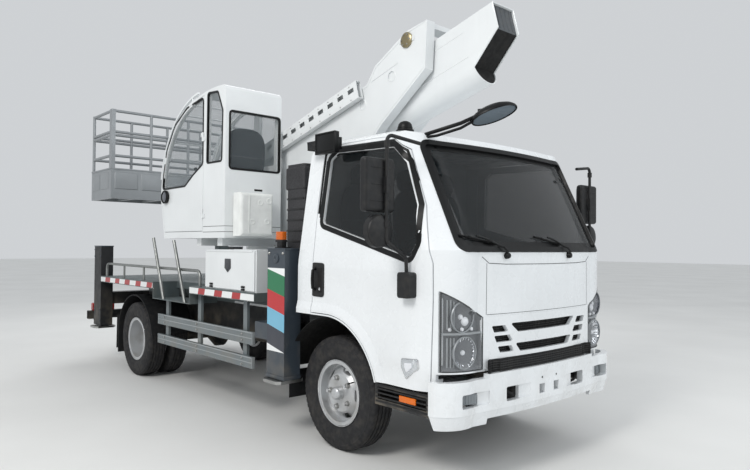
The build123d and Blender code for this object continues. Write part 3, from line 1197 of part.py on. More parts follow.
def basket_mount():
    """Levelling bracket on the boom's head with the upright swivel post."""
    x, z = boom_point(LEVEL_X, LEVEL_Z)
    half = BOOM_HALF - 2 * (BOOM_WALL + STAGE_GAP) - BOOM_WALL - 20 - SLIDE_GAP
    tongue = rod_y(x, z, -half, half, 50) + block(SWIVEL_X, x, -half, half, z - 50, z + 50)
    pin = rod_y(x, z, -BOOM_HALF, BOOM_HALF, LEVEL_PIN_R)
    post = rod_z(SWIVEL_X, 0, z - 50, SLEEVE_TOP - 5, SWIVEL_R)
    post += rod_z(SWIVEL_X, 0, z - 50, SLEEVE_LOW - SEAT_GAP, SWIVEL_R + 22)
    return tongue + pin + post


def basket():
    """Work basket: floor, kick panels, posts and rails, on its swivel sleeve."""
    x_in, x_out = BASKET_IN_X, BASKET_OUT_X
    half = BASKET_HALF
    frame = tube_box(x_out, x_in, -half, half, BASKET_LOW, BASKET_FLOOR, 40, "Z")
    frame += block(x_out, x_in, -half, half, BASKET_FLOOR - 8, BASKET_FLOOR)
    for i in range(5):
        y = -half + (i + 1) * 2 * half / 6
        frame += block(x_out, x_in, y - 20, y + 20, BASKET_LOW + 10, BASKET_FLOOR)
    wall = 3
    for x in (x_in, x_out):
        inner = x - wall if x == x_in else x
        frame += block(inner, inner + wall, -half, half, BASKET_FLOOR, KICK_Z)
    for y in (-half, half - wall):
        frame += block(x_out, x_in, y, y + wall, BASKET_FLOOR, KICK_Z)
    r = RAIL_R
    for z in BASKET_RAILS_Z:
        for x in (x_in - r, x_out + r):
            frame += rod_y(x, z, -half + r, half - r, r)
        for y in (-half + r, half - r):
            frame += rod_x(y, z, x_out + r, x_in - r, r)
    for x, y in ((x_in - r, 0), (x_out + r, 0), (x_out + r, -half + r), (x_out + r, half - r),
                 (x_in - r, half - r), (x_in - r, -half / 2), (x_in - r, half / 2),
                 (x_out + r, -half / 2), (x_out + r, half / 2)):
        frame += rod_z(x, y, BASKET_FLOOR, BASKET_TOP - r, r)
    frame += block(x_in - 70, x_in, -half, -half + 45, BASKET_FLOOR, BASKET_TOP)
    sleeve = rod_z(SWIVEL_X, 0, SLEEVE_LOW, SLEEVE_TOP, SWIVEL_R + 20)
    sleeve -= rod_z(SWIVEL_X, 0, SLEEVE_LOW - 1, SLEEVE_TOP - 1, SWIVEL_R + RUNNING_GAP)
    arm = block(BASKET_IN_X - 380, SWIVEL_X, -110, 110, SLEEVE_TOP - 2, BASKET_LOW)
    arm += rod_z(SWIVEL_X, 0, SLEEVE_TOP - 2, BASKET_LOW, 110)
    return frame + sleeve + arm


# Lift cylinder
def lift_line():
    """Start, unit direction and length of the lift cylinder at rest."""
    eye_x, eye_z = boom_point(LUG_X, LUG_Z)
    dx, dz = eye_x - CYL_BASE_X, eye_z - CYL_BASE_Z
    long = math.hypot(dx, dz)
    return dx / long, dz / long, long


def along_lift(distance):
    """A point on the lift cylinder's axis."""
    ux, uz, _ = lift_line()
    return CYL_BASE_X + ux * distance, 0, CYL_BASE_Z + uz * distance


def lift_barrel():
    """Barrel of the lift cylinder with its base eye."""
    tube = bar(along_lift(EYE_R + 10), along_lift(BARREL_LONG), BARREL_R)
    tube += bar(along_lift(EYE_R - 22), along_lift(EYE_R + 12), EYE_WIDE / 2)
    tube -= bar(along_lift(EYE_R + 40), along_lift(BARREL_LONG - 60), BARREL_R - BARREL_WALL)
    tube -= bar(along_lift(BARREL_LONG - 70), along_lift(BARREL_LONG + 1), ROD_R + SEAT_GAP)
    eye = rod_y(CYL_BASE_X, CYL_BASE_Z, -EYE_WIDE / 2, EYE_WIDE / 2, EYE_R)
    return tube + eye - rod_y(CYL_BASE_X, CYL_BASE_Z, -EYE_WIDE, EYE_WIDE, EYE_BORE_R + RUNNING_GAP)


def lift_rod():
    """Rod of the lift cylinder with its piston and eye."""
    long = lift_line()[2]
    rod = bar(along_lift(ROD_START), along_lift(long - EYE_R + 15), ROD_R)
    rod += bar(along_lift(ROD_START), along_lift(ROD_START + 60), BARREL_R - BARREL_WALL - SEAT_GAP)
    x, _, z = along_lift(long)
    eye = rod_y(x, z, -EYE_WIDE / 2, EYE_WIDE / 2, EYE_R)
    return rod + eye - rod_y(x, z, -EYE_WIDE, EYE_WIDE, EYE_BORE_R + RUNNING_GAP)


export_cab()
wheels()
export("front_bumper", front_bumper())
export("grille_panel", grille_panel())
export("headlamps", headlamps())
export("seats", seats())
export("dashboard", dashboard())
export("steering_wheel", steering_wheel())
export("mirror_left", mirror_set())
export("mirror_right", flip(mirror_set()))
export("front_mirror", front_mirror())
export("chassis_frame", chassis_frame())
export("front_axle", front_axle())
export("rear_axle", rear_axle())
export("knuckle_left", knuckle())
export("knuckle_right", flip(knuckle()))
export("tie_rod", tie_rod())
export("engine", engine())
export("fuel_tank", fuel_tank())
export("deck", deck())
export("side_guards", side_guards())
export("rear_fenders", rear_fenders())
export("toolbox", toolbox())
export("toolbox_door", toolbox_door())
export("hand_rails", hand_rails())
export("tail_lamps", tail_lamps())
export("outrigger_housings", outrigger_housings())
export("beam_left", sliding_beam(BEAM_LEFT_X))
export("beam_right", flip(sliding_beam(BEAM_RIGHT_X)))
export("leg_front_left", inner_leg(LEG_FRONT_X, LEG_FRONT_Y))
export("leg_front_right", flip(inner_leg(LEG_FRONT_X, LEG_FRONT_Y)))
export("leg_rear_left", inner_leg(LEG_REAR_X, LEG_REAR_Y))
export("leg_rear_right", flip(inner_leg(LEG_REAR_X, LEG_REAR_Y)))
export("slew_pedestal", slew_pedestal())
export("tower", tower())
export("operator_cab", operator_cab())
export("operator_glass", operator_glass())
export("operator_door", operator_door())
export("operator_door_glass", op_slab(op_window(), OP_OUT_Y + 12, OP_OUT_Y + 17))
export("operator_seat", operator_seat())
export("water_tank", water_tank())
export("boom_base", boom_base() + cable_tray())
export("boom_mid", in_boom(boom_stage(1)))
export("boom_tip", boom_tip())
export("basket_mount", basket_mount())
export("basket", basket())
export("lift_barrel", lift_barrel())
export("lift_rod", lift_rod())
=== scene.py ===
import json
import math

import bmesh
import bpy
from mathutils import Matrix, Vector
from mathutils.bvhtree import BVHTree


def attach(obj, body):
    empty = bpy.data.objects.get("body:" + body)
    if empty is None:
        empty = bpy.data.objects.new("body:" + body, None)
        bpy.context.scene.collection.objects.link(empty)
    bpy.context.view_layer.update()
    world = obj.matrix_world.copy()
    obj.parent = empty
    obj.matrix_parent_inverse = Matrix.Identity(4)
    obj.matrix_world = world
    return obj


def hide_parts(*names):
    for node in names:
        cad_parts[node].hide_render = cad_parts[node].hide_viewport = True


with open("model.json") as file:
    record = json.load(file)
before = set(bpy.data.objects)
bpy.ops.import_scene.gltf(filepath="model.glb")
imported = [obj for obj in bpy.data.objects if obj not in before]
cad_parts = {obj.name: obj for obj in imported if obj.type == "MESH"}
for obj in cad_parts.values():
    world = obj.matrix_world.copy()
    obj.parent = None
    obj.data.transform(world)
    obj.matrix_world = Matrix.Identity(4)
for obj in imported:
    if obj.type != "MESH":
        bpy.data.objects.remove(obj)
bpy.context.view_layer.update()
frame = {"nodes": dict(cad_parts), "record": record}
NODES = frame["nodes"]


# Materials
def rgb(r, g, b):
    """A display colour, 0 to 255, as linear light."""
    def one(v):
        v /= 255
        return v / 12.92 if v <= 0.04045 else ((v + 0.055) / 1.055) ** 2.4
    return one(r), one(g), one(b)


def scaled(colour, by):
    return tuple(min(1.0, c * by) for c in colour) + (1,)


class Nodes:
    """A material's node tree with short calls."""

    def __init__(self, name):
        self.mat = bpy.data.materials.new(name)
        self.mat.use_nodes = True
        self.tree = self.mat.node_tree
        self.bsdf = self.tree.nodes["Principled BSDF"]
        self.coord = self.new("ShaderNodeTexCoord").outputs["Object"]

    def new(self, kind, **values):
        node = self.tree.nodes.new(kind)
        for key, value in values.items():
            setattr(node, key, value)
        return node

    def link(self, a, b):
        self.tree.links.new(a, b)

    def noise(self, scale, detail, stretch=None):
        node = self.new("ShaderNodeTexNoise")
        node.inputs["Scale"].default_value = scale
        node.inputs["Detail"].default_value = detail
        if stretch:
            mapping = self.new("ShaderNodeMapping")
            mapping.inputs["Scale"].default_value = stretch
            self.link(self.coord, mapping.inputs["Vector"])
            self.link(mapping.outputs[0], node.inputs["Vector"])
        else:
            self.link(self.coord, node.inputs["Vector"])
        return node.outputs[0]

    def ramp(self, value, low, high, at=(0.3, 0.7)):
        node = self.new("ShaderNodeValToRGB")
        node.color_ramp.elements[0].position, node.color_ramp.elements[1].position = at
        node.color_ramp.elements[0].color = low
        node.color_ramp.elements[1].color = high
        self.link(value, node.inputs[0])
        return node.outputs[0]

    def span(self, value, a, b, low, high):
        node = self.new("ShaderNodeMapRange")
        for socket, number in zip(node.inputs[1:5], (a, b, low, high)):
            socket.default_value = number
        self.link(value, node.inputs[0])
        return node.outputs[0]

    def mix(self, factor, a, b):
        node = self.new("ShaderNodeMix", data_type="RGBA")
        self.link(factor, node.inputs[0])
        for value, socket in ((a, node.inputs[6]), (b, node.inputs[7])):
            if isinstance(value, tuple):
                socket.default_value = value
            else:
                self.link(value, socket)
        return node.outputs[2]

    def math(self, operation, a, b):
        node = self.new("ShaderNodeMath", operation=operation)
        for value, socket in ((a, node.inputs[0]), (b, node.inputs[1])):
            if isinstance(value, (int, float)):
                socket.default_value = value
            else:
                self.link(value, socket)
        return node.outputs[0]

    def axis(self, which):
        node = self.new("ShaderNodeSeparateXYZ")
        self.link(self.coord, node.inputs[0])
        return node.outputs["XYZ".index(which)]

    def bump(self, height, strength, distance):
        node = self.new("ShaderNodeBump")
        node.inputs["Strength"].default_value = strength
        node.inputs["Distance"].default_value = distance
        self.link(height, node.inputs["Height"])
        self.link(node.outputs[0], self.bsdf.inputs["Normal"])

    def set(self, **values):
        for key, value in values.items():
            self.bsdf.inputs[key.replace("_", " ")].default_value = value


MATS = {}
BLACK_TO_WHITE = (0, 0, 0, 1), (1, 1, 1, 1)
ROAD_DUST, DRY_DUST = rgb(128, 118, 102) + (1,), rgb(120, 113, 102) + (1,)
PEEL_SCALE, PEEL_STRENGTH = 260, 0.05       # orange peel of sprayed paint


def painted(name, colour, rough=0.3, coat=0.6, dirt=0.25, dirt_top=0.9, vary=0.04, metal=0.0):
    """Paint with slow colour drift, road dust towards the ground and fine orange peel."""
    m = Nodes(name)
    drift = m.ramp(m.noise(2.2, 4), scaled(colour, 1 - vary), scaled(colour, 1 + vary))
    dust = m.span(m.axis("Z"), dirt_top, 0.35, 0.0, 1.0)
    patch = m.ramp(m.noise(7, 6), *BLACK_TO_WHITE, (0.42, 0.75))
    amount = m.math("MULTIPLY", m.math("MULTIPLY", dust, patch), dirt)
    dusted = m.mix(amount, drift, ROAD_DUST)
    streak = m.ramp(m.noise(3, 5, (9, 9, 0.7)), *BLACK_TO_WHITE, (0.55, 0.85))
    m.link(m.mix(m.math("MULTIPLY", streak, 0.10), dusted, scaled(colour, 0.72)),
           m.bsdf.inputs["Base Color"])
    m.link(m.span(m.noise(11, 4), 0.2, 0.8, rough * 0.8, rough * 1.3), m.bsdf.inputs["Roughness"])
    m.bump(m.noise(PEEL_SCALE, 2), PEEL_STRENGTH, 0.001)
    m.set(Metallic=metal, Coat_Weight=coat, Coat_Roughness=0.08)
    MATS[name] = m.mat


def metalled(name, colour, rough=0.35, brushed=(1, 1, 1), vary=0.12, bump=0.1, metal=1.0, scale=60):
    """Bare, plated or cast metal with brushed or mottled grain."""
    m = Nodes(name)
    grain = m.noise(scale, 5, brushed)
    patch = m.noise(5, 5)
    tone = m.ramp(patch, scaled(colour, 1 - vary), scaled(colour, 1 + vary))
    m.link(m.mix(m.math("MULTIPLY", grain, 0.35), tone, scaled(colour, 0.7)),
           m.bsdf.inputs["Base Color"])
    m.link(m.span(grain, 0.25, 0.75, rough * 0.75, rough * 1.35), m.bsdf.inputs["Roughness"])
    m.bump(grain, bump, 0.0008)
    m.set(Metallic=metal)
    MATS[name] = m.mat


def plastic(name, colour, rough=0.45, vary=0.08, bump=0.25, grain=420, dust=0.25, shine=0.4):
    """Moulded plastic or rubber with fine grain and dust in its hollows."""
    m = Nodes(name)
    tone = m.ramp(m.noise(6, 4), scaled(colour, 1 - vary), scaled(colour, 1 + vary))
    dusty = m.ramp(m.noise(23, 6), *BLACK_TO_WHITE, (0.45, 0.8))
    m.link(m.mix(m.math("MULTIPLY", dusty, dust), tone, DRY_DUST),
           m.bsdf.inputs["Base Color"])
    m.link(m.span(m.noise(31, 3), 0.2, 0.8, rough * 0.85, min(1, rough * 1.25)),
           m.bsdf.inputs["Roughness"])
    m.bump(m.noise(grain, 2), bump, 0.0006)
    m.set(Specular_IOR_Level=shine)
    MATS[name] = m.mat


def glassy(name, colour, rough=0.02, alpha=0.32):
    """Thin tinted glass that lets the inside show."""
    m = Nodes(name)
    m.link(m.ramp(m.noise(3, 3), scaled(colour, 0.9), scaled(colour, 1.1)), m.bsdf.inputs["Base Color"])
    m.link(m.span(m.noise(9, 3), 0.3, 0.7, rough, rough + 0.03), m.bsdf.inputs["Roughness"])
    m.set(Alpha=alpha, Specular_IOR_Level=0.5, Coat_Weight=0.15, Coat_Roughness=0.02)
    MATS[name] = m.mat


WHITE = rgb(233, 236, 238)
painted("cab_paint", WHITE, rough=0.26, coat=0.7)
painted("lift_paint", rgb(228, 231, 232), rough=0.34, coat=0.45, dirt_top=1.2)
painted("frame_paint", rgb(30, 31, 33), rough=0.55, coat=0.1, dirt=0.75)
painted("deck_paint", rgb(86, 96, 98), rough=0.55, coat=0.1, dirt=0.4, dirt_top=1.4, vary=0.15)
painted("grey_paint", rgb(106, 114, 117), rough=0.42, coat=0.3, dirt=0.5)
painted("silver_paint", rgb(148, 152, 155), rough=0.42, coat=0.2, metal=0.35, dirt=0.2)
painted("rim_paint", rgb(196, 198, 200), rough=0.34, coat=0.3, metal=0.5, dirt=0.45, dirt_top=0.8)
metalled("galvanised", rgb(160, 162, 160), rough=0.45, vary=0.2, scale=25)
metalled("steel", rgb(178, 178, 176), rough=0.32, brushed=(1, 1, 12))
metalled("chromed", rgb(215, 216, 218), rough=0.10, brushed=(1, 14, 14), bump=0.02)
metalled("cast", rgb(70, 70, 72), rough=0.65, metal=0.6, bump=0.4, scale=90)
plastic("tyre", rgb(34, 34, 36), rough=0.72, dust=0.16)
plastic("black_plastic", rgb(24, 25, 27), rough=0.5, dust=0.08)
plastic("white_plastic", rgb(234, 236, 234), rough=0.4, dust=0.08)
plastic("trim", rgb(74, 76, 80), rough=0.6, dust=0.1)
plastic("cloth", rgb(52, 54, 60), rough=0.9, grain=900, bump=0.5, dust=0.1)
glassy("glass", rgb(14, 20, 22), alpha=0.55)
glassy("clear_glass", rgb(120, 130, 134), alpha=0.16)
glassy("lamp", rgb(226, 231, 233), alpha=0.10)
glassy("red_lamp", rgb(170, 22, 18), alpha=0.9)
glassy("lamp_glass", rgb(226, 232, 236), alpha=0.35)
glassy("fog_glass", rgb(150, 156, 160), alpha=0.8)
plastic("lamp_housing", rgb(96, 98, 102), rough=0.3, dust=0.0, bump=0.1)
plastic("bulb", rgb(224, 226, 230), rough=0.15, dust=0.0, bump=0.05)
plastic("lining_grey", rgb(84, 88, 92), rough=0.6, dust=0.2)
# lighter grey for the side guards' end caps and the painted highlight strips on their rails
painted("grey_light", rgb(150, 156, 158), rough=0.4, coat=0.3, dirt=0.3)
glassy("amber_lamp", rgb(222, 108, 16), alpha=0.92)
glassy("mirror_glass", rgb(120, 132, 142), rough=0.01, alpha=0.98)
metalled("reflector", rgb(236, 238, 242), rough=0.06, brushed=(30, 30, 2), bump=0.06)
metalled("smoked_reflector", rgb(132, 134, 140), rough=0.12, bump=0.05)
metalled("brass", rgb(162, 150, 120), rough=0.36)
painted("leg_paint", rgb(52, 61, 70), rough=0.42, coat=0.3, dirt=0.5)
painted("tape_red", rgb(170, 14, 20), rough=0.35, dirt=0.3)
painted("tape_white", rgb(236, 238, 238), rough=0.35, dirt=0.3)
painted("decal_green", rgb(6, 112, 68), rough=0.35, dirt=0.15)
painted("decal_red", rgb(186, 22, 28), rough=0.35, dirt=0.15)
painted("decal_blue", rgb(112, 178, 206), rough=0.35, dirt=0.15)
painted("decal_navy", rgb(28, 34, 50), rough=0.35, dirt=0.15)
# near-black for black parts such as the arch liners, and painted shade where it fills openings and slots
plastic("black_hole", rgb(12, 12, 13), rough=0.7, dust=0.05)
plastic("mesh_black", rgb(24, 25, 26), rough=0.4, dust=0.1)
plastic("seal", rgb(15, 16, 17), rough=0.4, dust=0.0, bump=0.1, shine=0.25)
plastic("seam", rgb(66, 68, 70), rough=0.7, dust=0.1)

SLOT_OF = {row["node"]: row["material_slot"] for row in frame["record"]["subparts"]}
FINISH_OF = {"rim_front_left": "rim_paint", "rim_front_right": "rim_paint", "rims_rear_left": "rim_paint",
             "rims_rear_right": "rim_paint", "beam_left": "leg_paint", "beam_right": "leg_paint",
             "operator_glass": "clear_glass", "operator_door_glass": "clear_glass"}
for node, obj in NODES.items():
    obj.data.materials.clear()
    obj.data.materials.append(MATS[FINISH_OF.get(node, SLOT_OF[node])])


# Shapes in mesh code
X, Y, Z = Vector((1, 0, 0)), Vector((0, 1, 0)), Vector((0, 0, 1))
CORNERS = ((-1, -1), (1, -1), (1, 1), (-1, 1))      # signs of a rectangle's corners, in turn


def spread(start, end, steps):
    """Even values from start to end, both among them."""
    return [start + (end - start) * k / steps for k in range(steps + 1)]


def circle(centre, u, v, radius, sides):
    """Points of a circle in the plane of u and v."""
    turns = (2 * math.pi * i / sides for i in range(sides))
    return [centre + radius * (math.cos(t) * u + math.sin(t) * v) for t in turns]


def square_to(axis):
    """Two directions square to an axis and to each other."""
    axis = Vector(axis).normalized()
    u = axis.cross(Z if abs(axis.z) < 0.9 else X).normalized()
    return u, axis.cross(u)


class Shape:
    """Points and faces of one piece, in metres in the truck's frame."""

    def __init__(self):
        self.points = []
        self.faces = []

    def add(self, points, faces):
        start = len(self.points)
        self.points += [Vector(p) for p in points]
        self.faces += [tuple(i + start for i in face) for face in faces]
        return self

    def join(self, other):
        return self.add(other.points, other.faces)

    def rings(self, rings, closed=False):
        """A skin over rings that have as many points each."""
        count, last = len(rings[0]), len(rings) - 1
        faces = []
        for k in range(len(rings) if closed else last):
            a, b = k * count, (k + 1) % len(rings) * count
            faces += [(a + i, a + (i + 1) % count, b + (i + 1) % count, b + i) for i in range(count)]
        if not closed:
            faces += [tuple(reversed(range(count))), tuple(range(last * count, (last + 1) * count))]
        return self.add([p for ring in rings for p in ring], faces)

    def box(self, x0, x1, y0, y1, z0, z1):
        ring = [(x0, y0), (x1, y0), (x1, y1), (x0, y1)]
        return self.rings([[(x, y, z) for x, y in ring] for z in (z0, z1)])

    def panel(self, middle, half_x, half_z, ys):
        """An upright plate that faces sideways, round a middle in side view."""
        return self.rings([[(middle[0] + a * half_x, y, middle[1] + b * half_z) for a, b in CORNERS]
                           for y in ys])

    def rod(self, start, end, radius, sides=24, end_radius=None):
        start, end = Vector(start), Vector(end)
        u, v = square_to(end - start)
        wide = radius if end_radius is None else end_radius
        return self.rings([circle(start, u, v, radius, sides), circle(end, u, v, wide, sides)])

    def lathe(self, centre, axis, profile, sides=40, ring=False):
        """Turned from (radius, place along the axis) points; a ring's profile is closed."""
        axis = Vector(axis).normalized()
        u, v = square_to(axis)
        return self.rings([circle(Vector(centre) + axis * h, u, v, max(r, 1e-5), sides)
                           for r, h in profile], closed=ring)

    def disc(self, centre, axis, radius, low, high, sides=24):
        """A short round bar from low to high along its axis."""
        return self.lathe(centre, axis, [(0, low), (radius, low), (radius, high), (0, high)], sides)

    def tube(self, path, radius, sides=12, closed=False):
        """A round bar along a path."""
        path = [Vector(p) for p in path]
        rings = []
        u = None
        for i, point in enumerate(path):
            after = path[(i + 1) % len(path)] if closed else path[min(i + 1, len(path) - 1)]
            before = path[i - 1] if closed or i else path[0]
            along = (after - before).normalized()
            u = square_to(along)[0] if u is None else (u - along * u.dot(along)).normalized()
            rings.append(circle(point, u, along.cross(u), radius, sides))
        return self.rings(rings, closed=closed)

    def patch(self, hits, lift, sink):
        """A closed sheet over a grid of (place, normal), raised and sunk along the normals."""
        rows, count = len(hits), len(hits[0])
        grid = [[p + n * lift for p, n in row] for row in hits]
        under = [[p - n * sink for p, n in row] for row in hits]
        faces = []
        size = rows * count
        for i in range(rows - 1):
            for j in range(count - 1):
                a = i * count + j
                face = (a, a + 1, a + count + 1, a + count)
                faces += [face, tuple(size + k for k in reversed(face))]
        rim = ([j for j in range(count)] + [i * count + count - 1 for i in range(1, rows)]
               + [(rows - 1) * count + j for j in range(count - 2, -1, -1)]
               + [i * count for i in range(rows - 2, 0, -1)])
        faces += [(a, b, b + size, a + size) for a, b in zip(rim, rim[1:] + rim[:1])]
        return self.add([p for row in grid + under for p in row], faces)

    def mirrored(self):
        """The same shape on the truck's other side."""
        other = Shape()
        return other.add([(p.x, -p.y, p.z) for p in self.points], [f[::-1] for f in self.faces])


def bolt(shape, place, axis, washer, head, high, chamfer=0.0015):
    """A hexagon head on its washer."""
    shape.lathe(place, axis, [(0, -0.001), (washer, -0.001), (washer, 0.002), (head, 0.002),
                              (head, high - chamfer), (head - 0.002, high), (0, high)], 6)


def piece(name, shape, body, finish, bevel=0.0, smooth=35, replaces=()):
    """A shape as an object that moves with a body."""
    mesh = bpy.data.meshes.new(name)
    mesh.from_pydata([tuple(p) for p in shape.points], [], shape.faces)
    work = bmesh.new()
    work.from_mesh(mesh)
    bmesh.ops.remove_doubles(work, verts=work.verts, dist=1e-5)
    bmesh.ops.recalc_face_normals(work, faces=work.faces)
    if bevel:
        sharp = [e for e in work.edges if e.is_manifold and e.calc_face_angle(0) > 0.6]
        bmesh.ops.bevel(work, geom=sharp, offset=bevel, segments=2, profile=0.5, affect="EDGES",
                        clamp_overlap=True)
    work.to_mesh(mesh)
    work.free()
    mesh.shade_smooth()
    mesh.set_sharp_from_angle(angle=math.radians(smooth))
    obj = bpy.data.objects.new(name, mesh)
    bpy.context.collection.objects.link(obj)
    mesh.materials.append(MATS[finish])
    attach(obj, body)
    if replaces:
        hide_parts(*replaces)
    return obj


def pair(name, shape, body, finish, **options):
    """A right-hand piece and its mirror image; a body named with {} has a side of its own."""
    for side, made in (("right", shape), ("left", shape.mirrored())):
        given = {k: tuple(n.format(side) for n in v) if k == "replaces" else v
                 for k, v in options.items()}
        piece(f"{name}_{side}", made, body.format(side), finish, **given)


# Real surfaces, found by rays onto the frame's nodes
def surface(*nodes):
    """A tree of the named nodes' faces."""
    points, faces = [], []
    for node in nodes:
        mesh, start = NODES[node].data, len(points)
        points += [NODES[node].matrix_world @ v.co for v in mesh.vertices]
        faces += [tuple(i + start for i in f.vertices) for f in mesh.polygons]
    return BVHTree.FromPolygons(points, faces)


def land(tree, start, direction):
    """Place and outward normal where a ray meets the surface, or None."""
    direction = Vector(direction).normalized()
    side = square_to(direction)
    for step in (0, 0.002, -0.002, 0.005, -0.005):     # a narrow gap between pieces is stepped over
        for way in side:
            place, normal, _, far = tree.ray_cast(Vector(start) + way * step, direction)
            if place is not None:
                return place, normal if normal.dot(direction) < 0 else -normal
    return None


def along(corners, gap, closed=True):
    """A polyline's points with none further apart than the gap."""
    corners = [Vector(c) for c in corners]
    ends = list(zip(corners, corners[1:] + corners[:1])) if closed else list(zip(corners, corners[1:]))
    made = []
    for a, b in ends:
        steps = max(1, math.ceil((b - a).length / gap))
        made += [a.lerp(b, k / steps) for k in range(steps)]
    return made if closed else made + [corners[-1]]


def rounded(corners, radius, steps=5):
    """A closed outline with its corners rounded."""
    corners = [Vector(c) for c in corners]
    made = []
    for i, corner in enumerate(corners):
        before, after = corners[i - 1], corners[(i + 1) % len(corners)]
        a, b = (before - corner).normalized(), (after - corner).normalized()
        half = a.angle(b) / 2
        reach = min(radius / math.tan(half), (before - corner).length / 2.1, (after - corner).length / 2.1)
        start, end = corner + a * reach, corner + b * reach
        for k in range(steps + 1):
            t = k / steps
            made.append((1 - t) ** 2 * start + 2 * t * (1 - t) * corner + t * t * end)
    return made


def strip(tree, path, direction, width, lift, sink, closed=True, shift=0.0):
    """A band that follows a path on a surface; shift moves it sideways."""
    hits = [h for h in (land(tree, p, direction) for p in path) if h]
    rings = []
    for i, (place, normal) in enumerate(hits):
        after = hits[(i + 1) % len(hits)][0] if closed else hits[min(i + 1, len(hits) - 1)][0]
        before = hits[i - 1][0] if closed or i else hits[0][0]
        side = normal.cross((after - before).normalized()).normalized()
        middle = place + side * shift
        rings.append([middle + side * width / 2 - normal * sink, middle + side * width / 2 + normal * lift,
                      middle - side * width / 2 + normal * lift, middle - side * width / 2 - normal * sink])
    return Shape().rings(rings, closed=closed)


def plaque(tree, outline, direction, lift, sink=0.004, crown=0.0):
    """A plate whose edge follows a surface."""
    hits = [h for h in (land(tree, p, direction) for p in outline) if h]
    low = [p - n * sink for p, n in hits]
    top = [p + n * lift for p, n in hits]
    rings = [low, top]
    if crown:
        middle = sum(top, Vector()) / len(top)
        face = sum((n for _, n in hits), Vector()).normalized()
        rings.append([p.lerp(middle, 0.3) + face * crown for p in top])
    return Shape().rings(rings)


def xz(points, y):
    """Side-view points as places in space."""
    return [(x, y, z) for x, z in points]


# Wheels
FRONT_AXLE_X, REAR_AXLE_X = 1.865, -1.495
WHEELS = {   # axle x, the tyres' places across, disc face across, body, replaced node
    "front": (FRONT_AXLE_X, (0.752,), 0.812, "wheel_front_{}", "tyre_front_{}"),
    "rear": (REAR_AXLE_X, (0.592, 0.832), 0.716, "wheels_rear_{}", "tyres_rear_{}"),
}
TYRE_R = 0.3875
GROOVES = (-0.048, -0.016, 0.016, 0.048)
GROOVE_DEEP, ZIGZAG, NOTCH = 0.007, 0.0018, 0.006
PITCHES, PHASES = 64, 4
STUD_CIRCLE_R, STUDS, NUT_R, NUT_HIGH, WASHER_R = 0.1025, 5, 0.0165, 0.020, 0.0215
LIP_IN = 0.0764                     # from the outer tyre's middle out to the rim's lip
LIP = ((0.2195, 0), (0.2255, 0), (0.2275, -0.002), (0.2262, -0.0045), (0.2215, -0.005), (0.2185, -0.0025))
VALVE_TURN, VALVE_R = 0.55, 0.186


def tyre_section(phase):
    """(radius, place across) of a tyre from bead to bead and back inside; phase is 0 to 3."""
    zigzag = ZIGZAG if phase < 2 else -ZIGZAG
    notch = NOTCH if phase == 3 else 0.0
    wall = [(0.205, 0.0600), (0.214, 0.0672), (0.226, 0.0700), (0.232, 0.0765), (0.243, 0.0838),
            (0.246, 0.0868), (0.251, 0.0868), (0.255, 0.0880), (0.283, 0.0938), (0.306, 0.0950),
            (0.330, 0.0932), (0.343, 0.0908), (0.346, 0.0925), (0.352, 0.0918), (0.355, 0.0890),
            (0.366 - notch, 0.0866), (0.3765 - notch, 0.0835), (0.3825 - notch, 0.0780),
            (0.3860, 0.0690)]
    tread = [(TYRE_R - deep, groove + step + zigzag) for groove in GROOVES
             for step, deep in ((-0.0056, 0), (-0.0036, GROOVE_DEEP), (0.0036, GROOVE_DEEP), (0.0056, 0))]
    return [(r, -y) for r, y in wall] + tread + wall[::-1] + [(0.217, 0.050), (0.217, -0.050)]


def tyre(shape, centre):
    """A tyre with zigzag grooves and notched shoulders."""
    sections = [tyre_section(phase) for phase in range(PHASES)]
    spokes = circle(Vector(), X, Z, 1.0, PITCHES * PHASES)
    return shape.rings([[centre + out * r + Y * y for r, y in sections[i % PHASES]]
                        for i, out in enumerate(spokes)], closed=True)


def wheel_fittings():
    """Tyres, nuts, polished lips and valves of all wheels."""
    for place, (x, across, face, body, node) in WHEELS.items():
        rubber, nuts, lip, valve = Shape(), Shape(), Shape(), Shape()
        for y in across:
            tyre(rubber, Vector((x, -y, TYRE_R)))
        edge = Vector((x, -across[-1] - LIP_IN, TYRE_R))
        lip.rings([[edge + out * r + Y * h for r, h in LIP] for out in circle(Vector(), X, Z, 1.0, 96)],
                  closed=True)
        for i in range(STUDS):
            t = 2 * math.pi * (i + 0.5) / STUDS
            centre = Vector((x, -face, TYRE_R)) + STUD_CIRCLE_R * Vector((math.cos(t), 0, -math.sin(t)))
            nuts.lathe(centre, -Y, [(0, 0), (WASHER_R, 0), (WASHER_R - 0.001, 0.004), (0, 0.004)], 24)
            nuts.lathe(centre, -Y, [(0, 0), (NUT_R, 0), (NUT_R, 0.017), (NUT_R - 0.003, NUT_HIGH),
                                    (0, NUT_HIGH)], 6)
        out = Vector((math.cos(VALVE_TURN), 0, math.sin(VALVE_TURN)))
        foot = Vector((x, -face - 0.020, TYRE_R)) + VALVE_R * out
        neck = foot + Vector((-0.006, -0.022, -0.004))
        valve.tube([foot + Y * 0.03, foot, neck], 0.0045, 10)
        valve.rod(neck, foot + Vector((-0.009, -0.034, -0.006)), 0.006, 12)
        pair(f"tyre_tread_{place}", rubber, body, "tyre", smooth=28, replaces=(node,))
        pair(f"wheel_nuts_{place}", nuts, body, "steel", smooth=25)
        pair(f"rim_lip_{place}", lip, body, "chromed")
        pair(f"valve_{place}", valve, body, "black_plastic")


